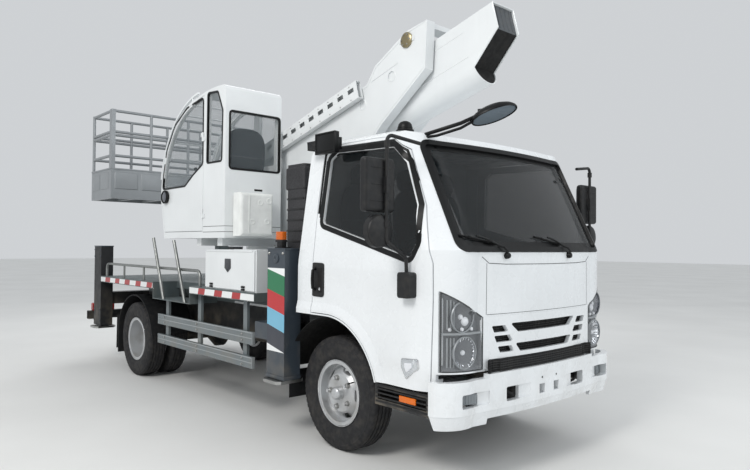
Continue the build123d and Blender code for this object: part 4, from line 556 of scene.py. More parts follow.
# Front of the cab
CAB = surface("cab_shell")
PANEL = surface("grille_panel")
NOSE = surface("cab_shell", "grille_panel", "headlamps", "cab_glass", "door_left", "door_right",
               "door_glass_left", "door_glass_right")
FAR_X, FAR_Y = 3.4, -1.6                  # rays start here, ahead of the nose and beside the right door
CORNER_X, CORNER_Y = 2.80, -0.74          # upright axis that the cab's right front corner turns about
LAMP_IN_Y, LAMP_OUT_Y = -0.593, -0.860
LAMP_LOW_Z, LAMP_IN_Z, LAMP_OUT_Z = 0.678, 0.982, 1.136
LAMP_MIDDLE_Z, DIVIDER_Z = 0.85, 0.888
UPPER_BOWL, LOWER_BOWL = (-0.738, 0.990, 0.086), (-0.722, 0.782, 0.090)     # across, up, radius
BOWL_DEEP, BOWL_WALL = 0.055, 0.003


def ahead(y, z, tree=NOSE):
    """Place and normal on the cab's front."""
    return land(tree, (FAR_X, y, z), -X)


def nose_hit(y, turn, z):
    """The nose from ahead at y, or where y is 0 round its right corner, turned so many degrees."""
    if y:
        return ahead(y, z)
    out = Vector((math.cos(math.radians(turn)), -math.sin(math.radians(turn)), 0))
    return land(NOSE, Vector((CORNER_X, CORNER_Y, z)) + out * 0.6, -out)


def nose_path(y_in, turn_out, z):
    """A level path from y_in on the front face round the right corner."""
    hits = [nose_hit(y, 0, z) for y in spread(y_in, CORNER_Y, 10)[:-1]]
    hits += [nose_hit(0, turn, z) for turn in range(0, turn_out + 1, 6)]
    return [hit for hit in hits if hit]


def lamp_top(y):
    """The headlamp's sloping top edge."""
    share = (LAMP_IN_Y - y) / (LAMP_IN_Y - LAMP_OUT_Y)
    return LAMP_IN_Z + (LAMP_OUT_Z - LAMP_IN_Z) * max(0.0, min(1.0, share))


# (y, turn) of the headlamp's columns from its inner edge round the corner, and the lamp's top at each
LAMP_COLUMNS = [(y, 0) for y in spread(LAMP_IN_Y, CORNER_Y, 8)[:-1]] + [(0, turn) for turn in range(0, 79, 5)]
LAMP_TOPS = [lamp_top(nose_hit(y, turn, LAMP_MIDDLE_Z)[0].y) for y, turn in LAMP_COLUMNS]


def lamp_housing():
    """Grey housing that follows the lens inside, with a step to its bowls."""
    rows, last = 13, len(LAMP_COLUMNS) - 1
    hits = []
    for k in range(rows):
        row = []
        for j, ((y, turn), top) in enumerate(zip(LAMP_COLUMNS, LAMP_TOPS)):
            place, normal = nose_hit(y, turn, LAMP_LOW_Z + (top - LAMP_LOW_Z) * k / (rows - 1))
            rim = k in (0, rows - 1) or j in (0, last)
            row.append((place - normal * (0.004 if rim else 0.030), normal))
        hits.append(row)
    pair("headlamp_housing", Shape().patch(hits, 0, 0.004), "truck", "lamp_housing", smooth=50)


def lamp_bowl(y, z):
    """Centre and axis of a bowl sunk behind the lens."""
    place, normal = nose_hit(y, 0, z)
    axis = (normal * 0.35 + X).normalized()
    return place - axis * 0.012, axis


def bowl(shape, trims, bulbs, y, z, radius, ribs):
    """A reflector with its trim ring, bulb and, where ribs are asked for, rays on its inside."""
    centre, axis = lamp_bowl(y, z)
    inside = [(radius * math.cos(k * 0.2), -BOWL_DEEP * math.sin(k * 0.2)) for k in range(8)]
    outside = [(r + BOWL_WALL, h - BOWL_WALL) for r, h in reversed(inside)]
    shape.lathe(centre, axis, inside + outside, 28, ring=True)
    for out in circle(Vector(), *square_to(axis), 1.0, ribs):
        shape.rod(centre + out * radius * 0.96 - axis * 0.012,
                  centre + out * radius * 0.30 - axis * 0.050, 0.0035, 5)
    trims.lathe(centre, axis, [(radius - 0.001, 0.001), (radius + 0.004, 0.002), (radius + 0.007, -0.003),
                               (radius + 0.004, -0.012), (radius - 0.001, -0.010)], 36, ring=True)
    bulbs.lathe(centre - axis * 0.022, axis, [(0, 0.012), (0.012, 0.009), (0.017, 0), (0.013, -0.012),
                                              (0.010, -0.033), (0, -0.033)], 24)


def lamp_divider():
    """The bar between the lamp's two halves and the upright ribs on its outer side."""
    divider = Shape()
    rows = [[nose_hit(y, turn, DIVIDER_Z + rise) for y, turn in LAMP_COLUMNS] for rise in (0, 0.012)]
    divider.patch([[(p - n * 0.006, n) for p, n in row] for row in rows], 0.002, 0.024)
    for turn in (30, 42, 54):
        for heights in ((0.70, 0.87), (0.92, 1.09)):
            rows = [[nose_hit(0, turn + step, z) for step in (0, 5)] for z in heights]
            divider.patch([[(p - n * 0.020, n) for p, n in row] for row in rows], 0.004, 0.012)
    pair("headlamp_divider", divider, "truck", "silver_paint")


def lamp_gasket():
    """Dark line round the lens."""
    outline = [nose_hit(y, turn, LAMP_LOW_Z) for y, turn in LAMP_COLUMNS]
    outline += [nose_hit(y, turn, top) for (y, turn), top in reversed(list(zip(LAMP_COLUMNS, LAMP_TOPS)))]
    rings = []
    for i, (place, normal) in enumerate(outline):
        after, before = outline[(i + 1) % len(outline)][0], outline[i - 1][0]
        side = normal.cross((after - before).normalized()).normalized()
        rings.append([place + side * wide + normal * high for wide, high in
                      ((0.003, 0.0012), (-0.004, 0.0012), (-0.004, -0.006), (0.003, -0.006))])
    pair("headlamp_gasket", Shape().rings(rings, closed=True), "truck", "seam")


def headlamps():
    """Housing, bowls, trims, bulbs, divider and gasket behind and round each lens."""
    lamp_housing()
    bright, smoked, bulbs, trims = Shape(), Shape(), Shape(), Shape()
    bowl(smoked, trims, bulbs, *UPPER_BOWL, 0)
    bowl(bright, trims, bulbs, *LOWER_BOWL, 24)
    centre, axis = lamp_bowl(-0.706, 0.962)
    bulbs.lathe(centre - axis * 0.022, axis, [(0, 0.018), (0.014, 0.015), (0.026, 0.006), (0.030, -0.006),
                                              (0.026, -0.030), (0, -0.030)], 28)
    for y in (-0.665, -0.735, -0.805):
        centre = nose_hit(y, 0, DIVIDER_Z + 0.030)[0]
        bulbs.lathe(centre - X * 0.026, X, [(0, 0.014), (0.010, 0.010), (0.012, 0), (0, 0)], 16)
    pair("headlamp_bowl", bright, "truck", "reflector", smooth=20)
    pair("headlamp_upper_bowl", smoked, "truck", "smoked_reflector", smooth=20)
    pair("headlamp_trim", trims, "truck", "silver_paint")
    pair("headlamp_bulbs", bulbs, "truck", "bulb")
    lamp_divider()
    lamp_gasket()


PANEL_HIGH_Z, PANEL_LOW_Z = 0.965, 0.842     # bands above and below the grille panel's slots
PANEL_X = 2.955                              # the panel's face where a ray meets a slot


def at_panel(y, z, out):
    """A place in front of the grille panel's face, which is carried on over its slots."""
    high, low = ahead(y, PANEL_HIGH_Z, PANEL), ahead(y, PANEL_LOW_Z, PANEL)
    if not high or not low:
        return Vector((PANEL_X + out, y, z))
    share = (z - PANEL_HIGH_Z) / (PANEL_LOW_Z - PANEL_HIGH_Z)
    return Vector((high[0].x + (low[0].x - high[0].x) * share + out, y, z))


def panel_mesh(shape, upright, level):
    """Rods and level bars; each row is (half width, count, heights, radius, place before the panel)."""
    half, count, (low, high), radius, out = upright
    for y in spread(-half, half, count):
        shape.rod(at_panel(y, low, out), at_panel(y, high, out), radius, 6)
    half, count, heights, radius, out = level
    for z in heights:
        shape.tube([at_panel(y, z, out) for y in spread(-half, half, count)], radius, 6)


def grille():
    """Dark backing, painted shade, and fine mesh behind the slots and in the opening above the bumper."""
    back, mesh, band, ribs = Shape(), Shape(), Shape(), Shape()
    # a black sheet behind the panel's slots, painted shade of the space behind them
    back.patch([[(at_panel(y, z, -0.055), X) for y in spread(-0.54, 0.54, 24)]
                for z in (0.72, 0.80, 0.88, 0.975)], 0, 0.004)
    panel_mesh(mesh, (0.525, 60, (0.745, 0.94), 0.0022, -0.036),
               (0.54, 24, spread(0.752, 0.934, 13), 0.0020, -0.034))
    # a black band in the opening above the bumper, painted shade behind its ribs
    band.patch([[(at_panel(y, z, 0), X) for y in spread(-0.572, 0.572, 28)]
                for z in (0.640, 0.672, 0.700, 0.730)], 0.003, 0.008)
    panel_mesh(ribs, (0.56, 48, (0.650, 0.722), 0.0024, 0.0045),
               (0.572, 28, spread(0.657, 0.713, 4), 0.0030, 0.004))
    piece("grille_shade_backing", back, "truck", "black_hole")
    piece("grille_mesh", mesh, "truck", "mesh_black")
    piece("lower_grille", band, "truck", "black_hole", bevel=0.0015)
    piece("lower_grille_mesh", ribs, "truck", "mesh_black")
    sill = [nose_path(-0.566, 84, z) for z in (0.636, 0.655, 0.672)]
    pair("lamp_sill", Shape().patch(sill, 0.0025, 0.006), "truck", "black_plastic", bevel=0.001)


NOSE_SEAMS = (      # width of the line and its (y, z) corners on the front panel
    (0.0045, ((-0.60, 1.338), (-0.545, 1.300), (-0.4, 1.293), (0, 1.291), (0.4, 1.293), (0.545, 1.300),
              (0.60, 1.338))),
    (0.0035, ((-0.562, 1.299), (-0.566, 0.995))),
    (0.0035, ((0.562, 1.299), (0.566, 0.995))),
    (0.003, ((-0.56, 0.9955), (0.56, 0.9955))),
)


def nose_seams():
    """Shut lines of the front panel, drawn on the real surface."""
    lines = Shape()
    for wide, corners in NOSE_SEAMS:
        path = along([(FAR_X, y, z) for y, z in corners], 0.04, closed=False)
        lines.join(strip(NOSE, path, -X, wide, 0.0004, 0.003, closed=False))
    piece("nose_seams", lines, "truck", "seam")


WIPERS = ((-0.40, -0.74), (0.27, -0.07))     # place across of a wiper's pivot and its blade's end
WIPER_PIVOT_Z, WIPER_END_Z = 1.345, 1.452
BLADE_SECTION = ((0.001, 0), (0.006, 0.003), (0.014, 0.006), (0.018, 0.001), (0.014, -0.004),
                 (0.006, -0.002))            # off the glass, up


def wipers():
    """Arms, blades and pivots along the windscreen's foot."""
    for number, (pivot_y, end_y) in enumerate(WIPERS, 1):
        arm, blade = Shape(), Shape()
        foot, out = ahead(pivot_y, WIPER_PIVOT_Z)
        arm.lathe(foot, out, [(0, -0.004), (0.020, -0.004), (0.020, 0.014), (0.015, 0.026), (0, 0.028)], 24)
        low = WIPER_PIVOT_Z + 0.02
        hits = [ahead(pivot_y + (end_y - pivot_y) * share * 0.62,
                      low + (WIPER_END_Z - low) * math.sin(share * 1.35)) for share in spread(0, 1, 12)]
        path = [place + normal * 0.026 for place, normal in filter(None, hits)]
        arm.tube([foot + out * 0.018] + path[1:], 0.0065, 8)
        hits = [ahead(pivot_y + (end_y - pivot_y) * (0.16 + 0.84 * share), WIPER_END_Z - 0.042 + 0.05 * share)
                for share in spread(0, 1, 16)]
        rest = list(filter(None, hits))
        blade.rings([[p + n * off + Z * up for off, up in BLADE_SECTION] for p, n in rest])
        for share in (0.2, 0.8):
            p, n = rest[int(share * (len(rest) - 1))]
            top = p + n * 0.024 - Y * 0.01
            blade.rod(p + n * 0.010 - Y * 0.03, top, 0.004, 8)
            blade.rod(top, p + n * 0.010 + Y * 0.03, 0.004, 8)
        piece(f"wiper_arm_{number}", arm, "truck", "seal")
        piece(f"wiper_blade_{number}", blade, "truck", "seal")


SCREEN_HALF, SCREEN_LOW_Z, SCREEN_TOP_Z = 0.760, 1.385, 2.040


def windscreen_trim():
    """Rubber round the windscreen and the dark band printed on its edge."""
    middle = (SCREEN_LOW_Z + SCREEN_TOP_Z) / 2
    corners = [(FAR_X, SCREEN_HALF * side, z) for side, z in
               ((-1, SCREEN_LOW_Z), (1, SCREEN_LOW_Z), (1, SCREEN_TOP_Z), (-1, SCREEN_TOP_Z))]
    path = along(rounded(corners, 0.06, 6), 0.05)

    def sized(wide, high):
        return [Vector((FAR_X, p.y * wide, middle + (p.z - middle) * high)) for p in path]

    seal = strip(CAB, sized(1.012, 1.02), -X, 0.034, 0.004, 0.02, shift=0.004)
    piece("windscreen_seal", seal, "truck", "seal", smooth=60)
    band = strip(surface("cab_glass"), sized(0.962, 0.93), -X, 0.05, 0.0006, 0.001)
    piece("windscreen_band", band, "truck", "seal", smooth=60)


FOG_Y, FOG_Z = -0.731, 0.52
FOG_SWEEP, FOG_SWEEP_Y = 0.35, -0.73       # the lens goes back by this much for each metre out from there
FOG_FACE = ((-0.790, 0.488), (-0.672, 0.488), (-0.666, 0.552), (-0.797, 0.552))
PLATE_SLOTS = ((-0.082, 0.029), (0.076, 0.029))     # middle across the truck, half width


def fog_lamps():
    """Fog lamps and black pockets in the bumper, tow eyes and backs of its two slots, black as painted shade.
    """
    lens, pocket, eye, slots = Shape(), Shape(), Shape(), Shape()
    pocket.box(2.80, 2.835, -0.815, -0.575, 0.462, 0.572)
    rows = [[(x + (y - FOG_SWEEP_Y) * FOG_SWEEP, FOG_Y + (y - FOG_Y) * grow, FOG_Z + (z - FOG_Z) * grow)
             for y, z in FOG_FACE] for x, grow in ((2.880, 1.0), (2.918, 1.0), (2.927, 0.9))]
    lens.rings(rows)
    for y in spread(-0.780, -0.672, 6):
        x = 2.925 + (y - FOG_SWEEP_Y) * FOG_SWEEP
        lens.box(x, x + 0.005, y - 0.0015, y + 0.0015, 0.494, 0.546)
    eye.tube([(2.88, -0.330, 0.49), (2.945, -0.330, 0.492), (2.955, -0.345, 0.50), (2.955, -0.375, 0.515),
              (2.945, -0.392, 0.525), (2.88, -0.392, 0.527)], 0.010, 12)
    eye.box(2.81, 2.88, -0.44, -0.29, 0.47, 0.568)
    for y, half in PLATE_SLOTS:
        # black boxes behind the slots, painted shade of the slots' insides
        slots.box(2.90, 2.93, y - half - 0.01, y + half + 0.01, 0.47, 0.545)
        slots.rod((2.90, y, 0.577), (2.9956, y, 0.577), 0.0065, 14)
        slots.rod((2.90, y, 0.459), (2.9925, y, 0.459), 0.0045, 14)
    pair("fog_pocket", pocket, "truck", "black_hole", bevel=0.003)
    pair("fog_lens", lens, "truck", "fog_glass", bevel=0.002)
    pair("tow_eye", eye, "truck", "black_hole")
    piece("plate_slot_shade_backs", slots, "truck", "black_hole")


# Sides of the cab
DOOR = surface("door_right")
WINDOW = ((1.775, 1.551), (2.259, 1.428), (2.640, 1.330), (2.690, 1.420), (2.668, 1.640),
          (2.560, 1.905), (2.440, 2.010), (1.880, 2.030), (1.812, 1.990))
FRAME_EDGE = ((1.722, 1.62), (1.752, 2.030), (1.800, 2.066), (2.436, 2.050), (2.545, 1.980), (2.640, 1.79))
REAR_FRAME = ((1.752, 1.590), (1.788, 1.985))
HANDLE = ((1.689, 1.046), (1.829, 1.043), (1.829, 1.277), (1.689, 1.280))
SIDE_LAMP = ((2.589, 0.736), (2.721, 0.746), (2.726, 0.690), (2.630, 0.614), (2.587, 0.684))
GUTTER = ((1.560, 2.098), (2.20, 2.098), (2.430, 2.090))


def grown(path, by):
    """A closed side-view outline moved outwards."""
    path = [Vector(p) for p in path]
    middle = sum(path, Vector()) / len(path)
    made = []
    for i, p in enumerate(path):
        edge = (path[(i + 1) % len(path)] - path[i - 1]).normalized()
        out = edge.cross(Y).normalized()
        made.append(p + out * (by if out.dot(p - middle) > 0 else -by))
    return made


def shrunk(outline, middle, by):
    """An outline drawn together about a middle."""
    return [middle + (p - middle) * by for p in outline]


def window_seals():
    """Wide rubbers round the door windows, with a second one along the frame's edge."""
    path = along(rounded(xz(WINDOW, FAR_Y), 0.03, 5), 0.04)
    seal = strip(DOOR, grown(path, 0.020), Y, 0.034, 0.003, 0.024)
    edge = strip(DOOR, along(xz(FRAME_EDGE, FAR_Y), 0.04, closed=False), Y, 0.017, 0.005, 0.003, closed=False)
    rear = strip(DOOR, along(xz(REAR_FRAME, FAR_Y), 0.03, closed=False), Y, 0.040, 0.0035, 0.01, closed=False)
    pair("window_seal", seal, "door_{}", "seal", smooth=60)
    pair("door_frame_seal", edge, "door_{}", "seal", smooth=60)
    pair("window_rear_frame", rear, "door_{}", "seal", smooth=60)


def door_details():
    """Handles with their plates and cups, and the lock of both cab doors."""
    plate = rounded(xz(HANDLE, FAR_Y), 0.03, 6)
    face = land(DOOR, (1.76, FAR_Y, 1.16), Y)[0].y
    path = [Vector((1.735, face + out, z)) for out, z in
            ((0.002, 1.085), (-0.030, 1.105), (-0.034, 1.165), (-0.030, 1.225), (0.002, 1.245))]
    halved = [a.lerp(b, t) for a, b in zip(path, path[1:]) for t in (0, 0.5)]
    grip = Shape().tube(halved + [path[-1]], 0.010, 14)
    cup = Shape().patch([[(Vector((x, face - 0.006, z)), -Y) for x in (1.765, 1.790, 1.812)]
                         for z in (1.075, 1.13, 1.19, 1.245)], 0.004, 0.002)
    lock = Shape().lathe((1.790, face - 0.010, 1.100), -Y,
                         [(0, 0), (0.011, 0), (0.011, 0.004), (0.008, 0.006), (0, 0.006)], 24)
    pair("handle_plate", plaque(DOOR, plate, Y, 0.006, crown=0.003), "door_{}", "black_plastic",
         bevel=0.002, smooth=40)
    pair("handle_grip", grip, "door_{}", "seal")
    pair("handle_cup", cup, "door_{}", "black_hole", bevel=0.003)
    pair("door_lock", lock, "door_{}", "chromed")


def side_lamps():
    """Clear shield-shaped lamps with a pale bulb, on the doors' lower front corners."""
    edge = rounded(xz(SIDE_LAMP, FAR_Y), 0.014, 4)
    middle = Vector((2.652, FAR_Y, 0.694))
    lens, core = shrunk(edge, middle, 0.88), shrunk(edge, middle, 0.45)
    pair("side_lamp_frame", plaque(DOOR, edge, Y, 0.005), "door_{}", "chromed", bevel=0.001)
    pair("side_lamp", plaque(DOOR, lens, Y, 0.010, crown=0.004), "door_{}", "lamp_glass", bevel=0.002)
    pair("side_lamp_core", plaque(DOOR, core, Y, 0.0145, crown=0.002), "door_{}", "bulb", bevel=0.001)


def drip_rails():
    """Rails over the doors."""
    rail = along(xz(GUTTER, FAR_Y), 0.04, closed=False)
    pair("drip_rail", strip(CAB, rail, Y, 0.012, 0.006, 0.004, closed=False), "truck", "cab_paint", smooth=50)


ARCH_R, ARCH_Z = 0.508, 0.400
FLAP_X, FLAP_THICK = 1.352, 0.006


def arch_liners():
    """Black liners in the front wheel arches, and the flaps behind the front wheels."""
    rows = []
    for turn in range(8, 173, 5):
        out = Vector((math.cos(math.radians(turn)), 0, math.sin(math.radians(turn))))
        centre = Vector((FRONT_AXLE_X, 0, ARCH_Z)) + out * ARCH_R
        rows.append([(centre + Y * y, -out) for y in (-0.500, -0.60, -0.72, -0.83, -0.905)])
    pair("arch_liner", Shape().patch(rows, 0, 0.004), "truck", "black_hole", smooth=60)
    flap = Shape().box(FLAP_X, FLAP_X + FLAP_THICK, -0.885, -0.640, 0.27, 0.475)
    pair("front_flap", flap, "truck", "black_plastic", bevel=0.002)


def step_trim():
    """Black sill with its grooves and amber reflector under each door."""
    trim, reflector = Shape(), Shape()
    for z in spread(0.432, 0.536, 4):
        trim.box(2.336, 2.784, -0.9085, -0.9035, z, z + 0.010)
    for x in spread(2.36, 2.745, 7):
        trim.box(x, x + 0.030, -0.88, -0.76, 0.5445, 0.5485)
    reflector.panel((2.620, 0.488), 0.068, 0.018, (-0.904, -0.9135))
    pair("step_trim", trim, "truck", "black_plastic", bevel=0.001)
    pair("step_reflector", reflector, "truck", "amber_lamp", bevel=0.002)


MIRROR_GLASS_X = 2.5665
MIRROR_CORNERS = ((-1.030, 1.596), (-1.252, 1.596), (-1.252, 1.894), (-1.030, 1.894))
ROUND_MIRROR_Y, ROUND_MIRROR_Z = -1.140, 1.482


def mirrors():
    """Glass and caps of the side mirrors and clamps on their stays."""
    glass, caps = Shape(), Shape()
    outline = rounded([(MIRROR_GLASS_X, y, z) for y, z in MIRROR_CORNERS], 0.03, 5)
    middle = sum(outline, Vector()) / len(outline)
    ring = shrunk(outline, middle, 0.92)
    glass.rings([[p + X * 0.004 for p in ring], [p - X * 0.0015 for p in ring],
                 [p - X * 0.0030 for p in shrunk(outline, middle, 0.5)]])
    glass.lathe((2.5822, ROUND_MIRROR_Y, ROUND_MIRROR_Z), -X,
                [(0, -0.002), (0.086, -0.002), (0.086, 0.001), (0.05, 0.0045), (0.001, 0.006)], 40)
    for z in (1.650, 1.745, 1.840):
        caps.rings([[(x, y, z + h) for y, h in ((-1.06 - slope, slope / 10), (-1.22 + slope, slope / 10),
                                                (-1.22 + slope, 0.006 - slope / 10),
                                                (-1.06 - slope, 0.006 - slope / 10))]
                    for x, slope in ((2.6265, 0.0), (2.6305, 0.01))])
    caps.lathe((2.6215, ROUND_MIRROR_Y, ROUND_MIRROR_Z), X,
               [(0.094, -0.002), (0.088, 0.010), (0.060, 0.020), (0.001, 0.024)], 40)
    for z in (1.98, 1.52):
        caps.rod((2.642, -1.110, z - 0.018), (2.642, -1.110, z + 0.018), 0.017, 16)
    pair("mirror_glass", glass, "door_{}", "mirror_glass", smooth=50)
    pair("mirror_cap", caps, "door_{}", "black_plastic", smooth=40)


FACING = Vector((0.45, 0, -0.89)).normalized()
LONG = (Vector((0.61, 0.68, 0.41)) - FACING * Vector((0.61, 0.68, 0.41)).dot(FACING)).normalized()
MIRROR_PLACE, ARM_FOOT = Vector((2.893, -0.455, 2.205)), Vector((2.500, -0.715, 2.085))
MIRROR_LONG, MIRROR_WIDE = 0.148, 0.088            # half lengths of the oval
MIRROR_SHELL = ((0.02, -0.056), (0.35, -0.053), (0.65, -0.043), (0.86, -0.027), (0.97, -0.010),
                (1.0, 0.004), (0.985, 0.010), (0.94, 0.009), (0.93, 0.003), (0.02, 0.003))
MIRROR_FACE = ((0.92, 0.003), (0.92, 0.005), (0.6, 0.0085), (0.3, 0.010), (0.02, 0.0105))


def oval(profile):
    """A dished oval from (share of the full size, height) rows."""
    wide = FACING.cross(LONG)
    turns = [2 * math.pi * k / 48 for k in range(48)]
    return Shape().rings([[MIRROR_PLACE + FACING * height + LONG * MIRROR_LONG * share * math.cos(t)
                           + wide * MIRROR_WIDE * share * math.sin(t) for t in turns]
                          for share, height in profile])


def cross_view_mirror():
    """Oval mirror that looks down at the nose, with its two-bar arm."""
    arm = Shape()
    end = MIRROR_PLACE - FACING * 0.030 - LONG * 0.085
    for low, radius in ((0.0, 0.012), (0.030, 0.009)):
        arm.tube([ARM_FOOT - Z * low * 0.3, (2.640, -0.690, 2.108 - low), (2.770, -0.620, 2.146 - low),
                  end - Z * low * 0.6], radius, 12)
    arm.lathe(ARM_FOOT - Z * 0.030, (0.1, -0.15, 1),
              [(0, -0.02), (0.040, -0.02), (0.044, 0.02), (0.036, 0.040), (0.018, 0.050), (0, 0.052)], 28)
    arm.rod(end - FACING * 0.02, end + LONG * 0.05 - FACING * 0.008, 0.020, 20)
    piece("front_mirror_shell", oval(MIRROR_SHELL), "truck", "seal", smooth=60, replaces=("front_mirror",))
    piece("front_mirror_glass", oval(MIRROR_FACE), "truck", "mirror_glass", smooth=60)
    piece("front_mirror_arm", arm, "truck", "seal", smooth=50)


BEACON_PLACE, WORK_LAMP = (2.39, -0.72), Vector((1.893, -0.958, 2.086))
WORK_LAMP_ROWS = ((0.045, 0.10, 0.07), (0.036, 0.15, 0.10), (0.010, 0.215, 0.140), (-0.028, 0.222, 0.145),
                  (-0.032, 0.200, 0.122), (-0.024, 0.196, 0.118))     # place across, width, height
WORK_LENS_ROWS = ((-0.0245, 0.194, 0.116), (-0.0275, 0.192, 0.114))


BEACON_SECTION = ((0, -0.01), (0.058, -0.01), (0.058, 0.010), (0.050, 0.014), (0.048, 0.030),
                  (0.043, 0.048), (0.032, 0.061), (0.016, 0.068), (0, 0.070))


def work_lamp_rings(rows):
    """A tapered block about the work lamp's middle."""
    return Shape().rings([[WORK_LAMP + Vector((a * wide / 2, y, b * high / 2)) for a, b in CORNERS]
                          for y, wide, high in rows])


def roof_gear():
    """Beacon and work lamp on the cab's right side."""
    roof = land(CAB, (*BEACON_PLACE, 3.0), -Z)[0]
    beacon = Shape().lathe(roof, Z, BEACON_SECTION, 36)
    beacon.lathe(roof, Z, [(0.0475, 0.020), (0.0495, 0.020), (0.0495, 0.026), (0.0475, 0.026)], 36, ring=True)
    lamp, bracket = work_lamp_rings(WORK_LAMP_ROWS), Shape()
    for x in spread(WORK_LAMP.x - 0.075, WORK_LAMP.x + 0.075, 5):
        lamp.box(x - 0.004, x + 0.004, WORK_LAMP.y + 0.01, WORK_LAMP.y + 0.058,
                 WORK_LAMP.z - 0.04, WORK_LAMP.z + 0.04)
    bracket.box(1.650, 1.780, -0.953, -0.945, 2.062, 2.122)
    bracket.box(1.650, 1.658, -0.953, -0.885, 2.062, 2.122)
    bracket.rod((1.770, -0.957, 2.092), (1.792, -0.957, 2.092), 0.016, 16)
    piece("beacon", beacon, "truck", "seal")
    piece("work_lamp", lamp, "truck", "seal", bevel=0.003)
    piece("work_lamp_lens", work_lamp_rings(WORK_LENS_ROWS), "truck", "seal", bevel=0.001)
    piece("work_lamp_bracket", bracket, "truck", "black_plastic", bevel=0.0015)


# Seats
def power(value, by):
    """A value's size to a power, with its own sign."""
    return math.copysign(abs(value) ** by, value)


def cushion(size, crown=0.02):
    """A crowned closed pad about the origin; size is its length along each direction."""
    long, wide, high = (s / 2 for s in size)
    rows, sides = 22, 48
    rings = []
    for k in range(rows + 1):
        up = -math.pi / 2 + math.pi * k / rows
        flat = power(math.cos(up), 0.5) if math.cos(up) > 1e-6 else 0.0
        rise = power(math.sin(up), 2 / 3)
        side, share = (1, 1) if math.sin(up) > 0 else (-1, 0.3)
        ring = []
        for t in (2 * math.pi * j / sides for j in range(sides)):
            a, b = power(math.cos(t), 0.5) * flat, power(math.sin(t), 0.5) * flat
            swell = crown * (1 - a * a) * (1 - b * b) * share
            ring.append(Vector((a * long, b * wide, rise * high + swell * side)))
        rings.append(ring)
    return Shape().rings(rings)


def leaned(shape, centre, lean):
    """A shape leaned about the Y axis and moved to its place."""
    turn = Matrix.Rotation(math.radians(lean), 3, "Y")
    shape.points = [Vector(centre) + turn @ p for p in shape.points]
    return shape


def pad(name, centre, size, lean, body):
    """A stuffed piece with a piped seam round its edge."""
    piece(name, leaned(cushion(size), centre, lean), body, "cloth", smooth=80)
    half = 0.992 / 2
    path = [Vector((power(math.cos(t), 0.5) * size[0] * half, power(math.sin(t), 0.5) * size[1] * half, 0))
            for t in (2 * math.pi * j / 64 for j in range(64))]
    piece(f"{name}_piping", leaned(Shape().tube(path, 0.005, 8, closed=True), centre, lean), body, "trim")


CAB_SEATS = (("driver", -0.640, -0.180, 1), ("bench", -0.120, 0.640, 2))      # ends across, head pads
OPERATOR_Y = (-0.880 - 0.310) / 2


def seats():
    """Cushions, backrests and head pads of the cab's seats and the operator's seat."""
    plinth, box = Shape(), Shape()
    for name, y0, y1, heads in CAB_SEATS:
        middle, wide = (y0 + y1) / 2, y1 - y0
        pad(f"{name}_cushion", (1.955, middle, 1.250), (0.49, wide, 0.14), -3, "truck")
        pad(f"{name}_back", (1.672, middle, 1.580), (0.125, wide, 0.545), -6, "truck")
        for k in range(heads):
            y = y0 + wide * (k + 0.5) / heads
            pad(f"{name}_head_{k + 1}", (1.642, y, 1.915), (0.09, 0.25, 0.16), -6, "truck")
            for step in (-0.06, 0.06):
                plinth.rod((1.648, y + step, 1.80), (1.640, y + step, 1.90), 0.006, 10)
        plinth.box(1.76, 2.14, y0 + 0.04, y1 - 0.04, 0.925, 1.150)
        for y in (y0 + 0.06, y1 - 0.10):
            plinth.box(1.74, 2.18, y, y + 0.035, 1.150, 1.182)
    piece("seat_plinths", plinth, "truck", "trim", bevel=0.006, replaces=("seats",))
    pad("operator_cushion", (-0.100, OPERATOR_Y, 1.925), (0.46, 0.44, 0.11), -2, "turntable")
    pad("operator_back", (0.175, OPERATOR_Y, 2.195), (0.10, 0.40, 0.48), 6, "turntable")
    box.box(-0.25, 0.10, OPERATOR_Y - 0.17, OPERATOR_Y + 0.17, 1.494, 1.840)
    box.box(-0.28, 0.13, OPERATOR_Y - 0.19, OPERATOR_Y + 0.19, 1.840, 1.872)
    piece("operator_plinth", box, "turntable", "black_plastic", bevel=0.006, replaces=("operator_seat",))


# Deck, box and tail
DECK_HALF, DECK_TREAD_Z = 0.950, 1.0202
TREADS = (          # x from, x to, and places kept clear as (x, x, y, y)
    (-2.49, -0.995, ((-2.75, -2.33, -1, 1),)),
    (-0.165, 0.945, ((0.09, 0.96, -0.96, -0.44), (-0.42, 0.42, -0.42, 0.42))),
)
TREAD_PITCH, TREAD_LONG, TREAD_WIDE, TREAD_RISE = 0.045, 0.017, 0.0055, 0.0016
TAPES = ((-2.503, -1.002), (-0.170, 0.951))        # ends along the truck
REDS = ((-2.360, -2.191), (-2.045, -1.903), (-1.755, -1.599), (-1.447, -1.298), (-1.153, -1.004),
        (-0.002, 0.136), (0.298, 0.446), (0.601, 0.750))
TAPE_LOW_Z, TAPE_TOP_Z, RED_LEAN, RIVET_PITCH = 0.957, 1.009, 0.014, 0.25


def chequer(shape, x0, x1, clear):
    """Raised lozenges on the deck, each turned square to the next."""
    half = DECK_HALF - 0.010
    for i in range(int((x1 - x0) / TREAD_PITCH)):
        for j in range(int(2 * half / TREAD_PITCH)):
            x, y = x0 + TREAD_PITCH * (i + 0.5), -half + TREAD_PITCH * (j + 0.5)
            if any(a < x < b and c < y < d for a, b, c, d in clear):
                continue
            a, b = (TREAD_LONG, TREAD_WIDE) if (i + j) % 2 else (TREAD_WIDE, TREAD_LONG)
            z = DECK_TREAD_Z
            shape.add([(x - a, y, z), (x, y - b, z), (x + a, y, z), (x, y + b, z), (x, y, z + TREAD_RISE)],
                      [(0, 1, 4), (1, 2, 4), (2, 3, 4), (3, 0, 4)])


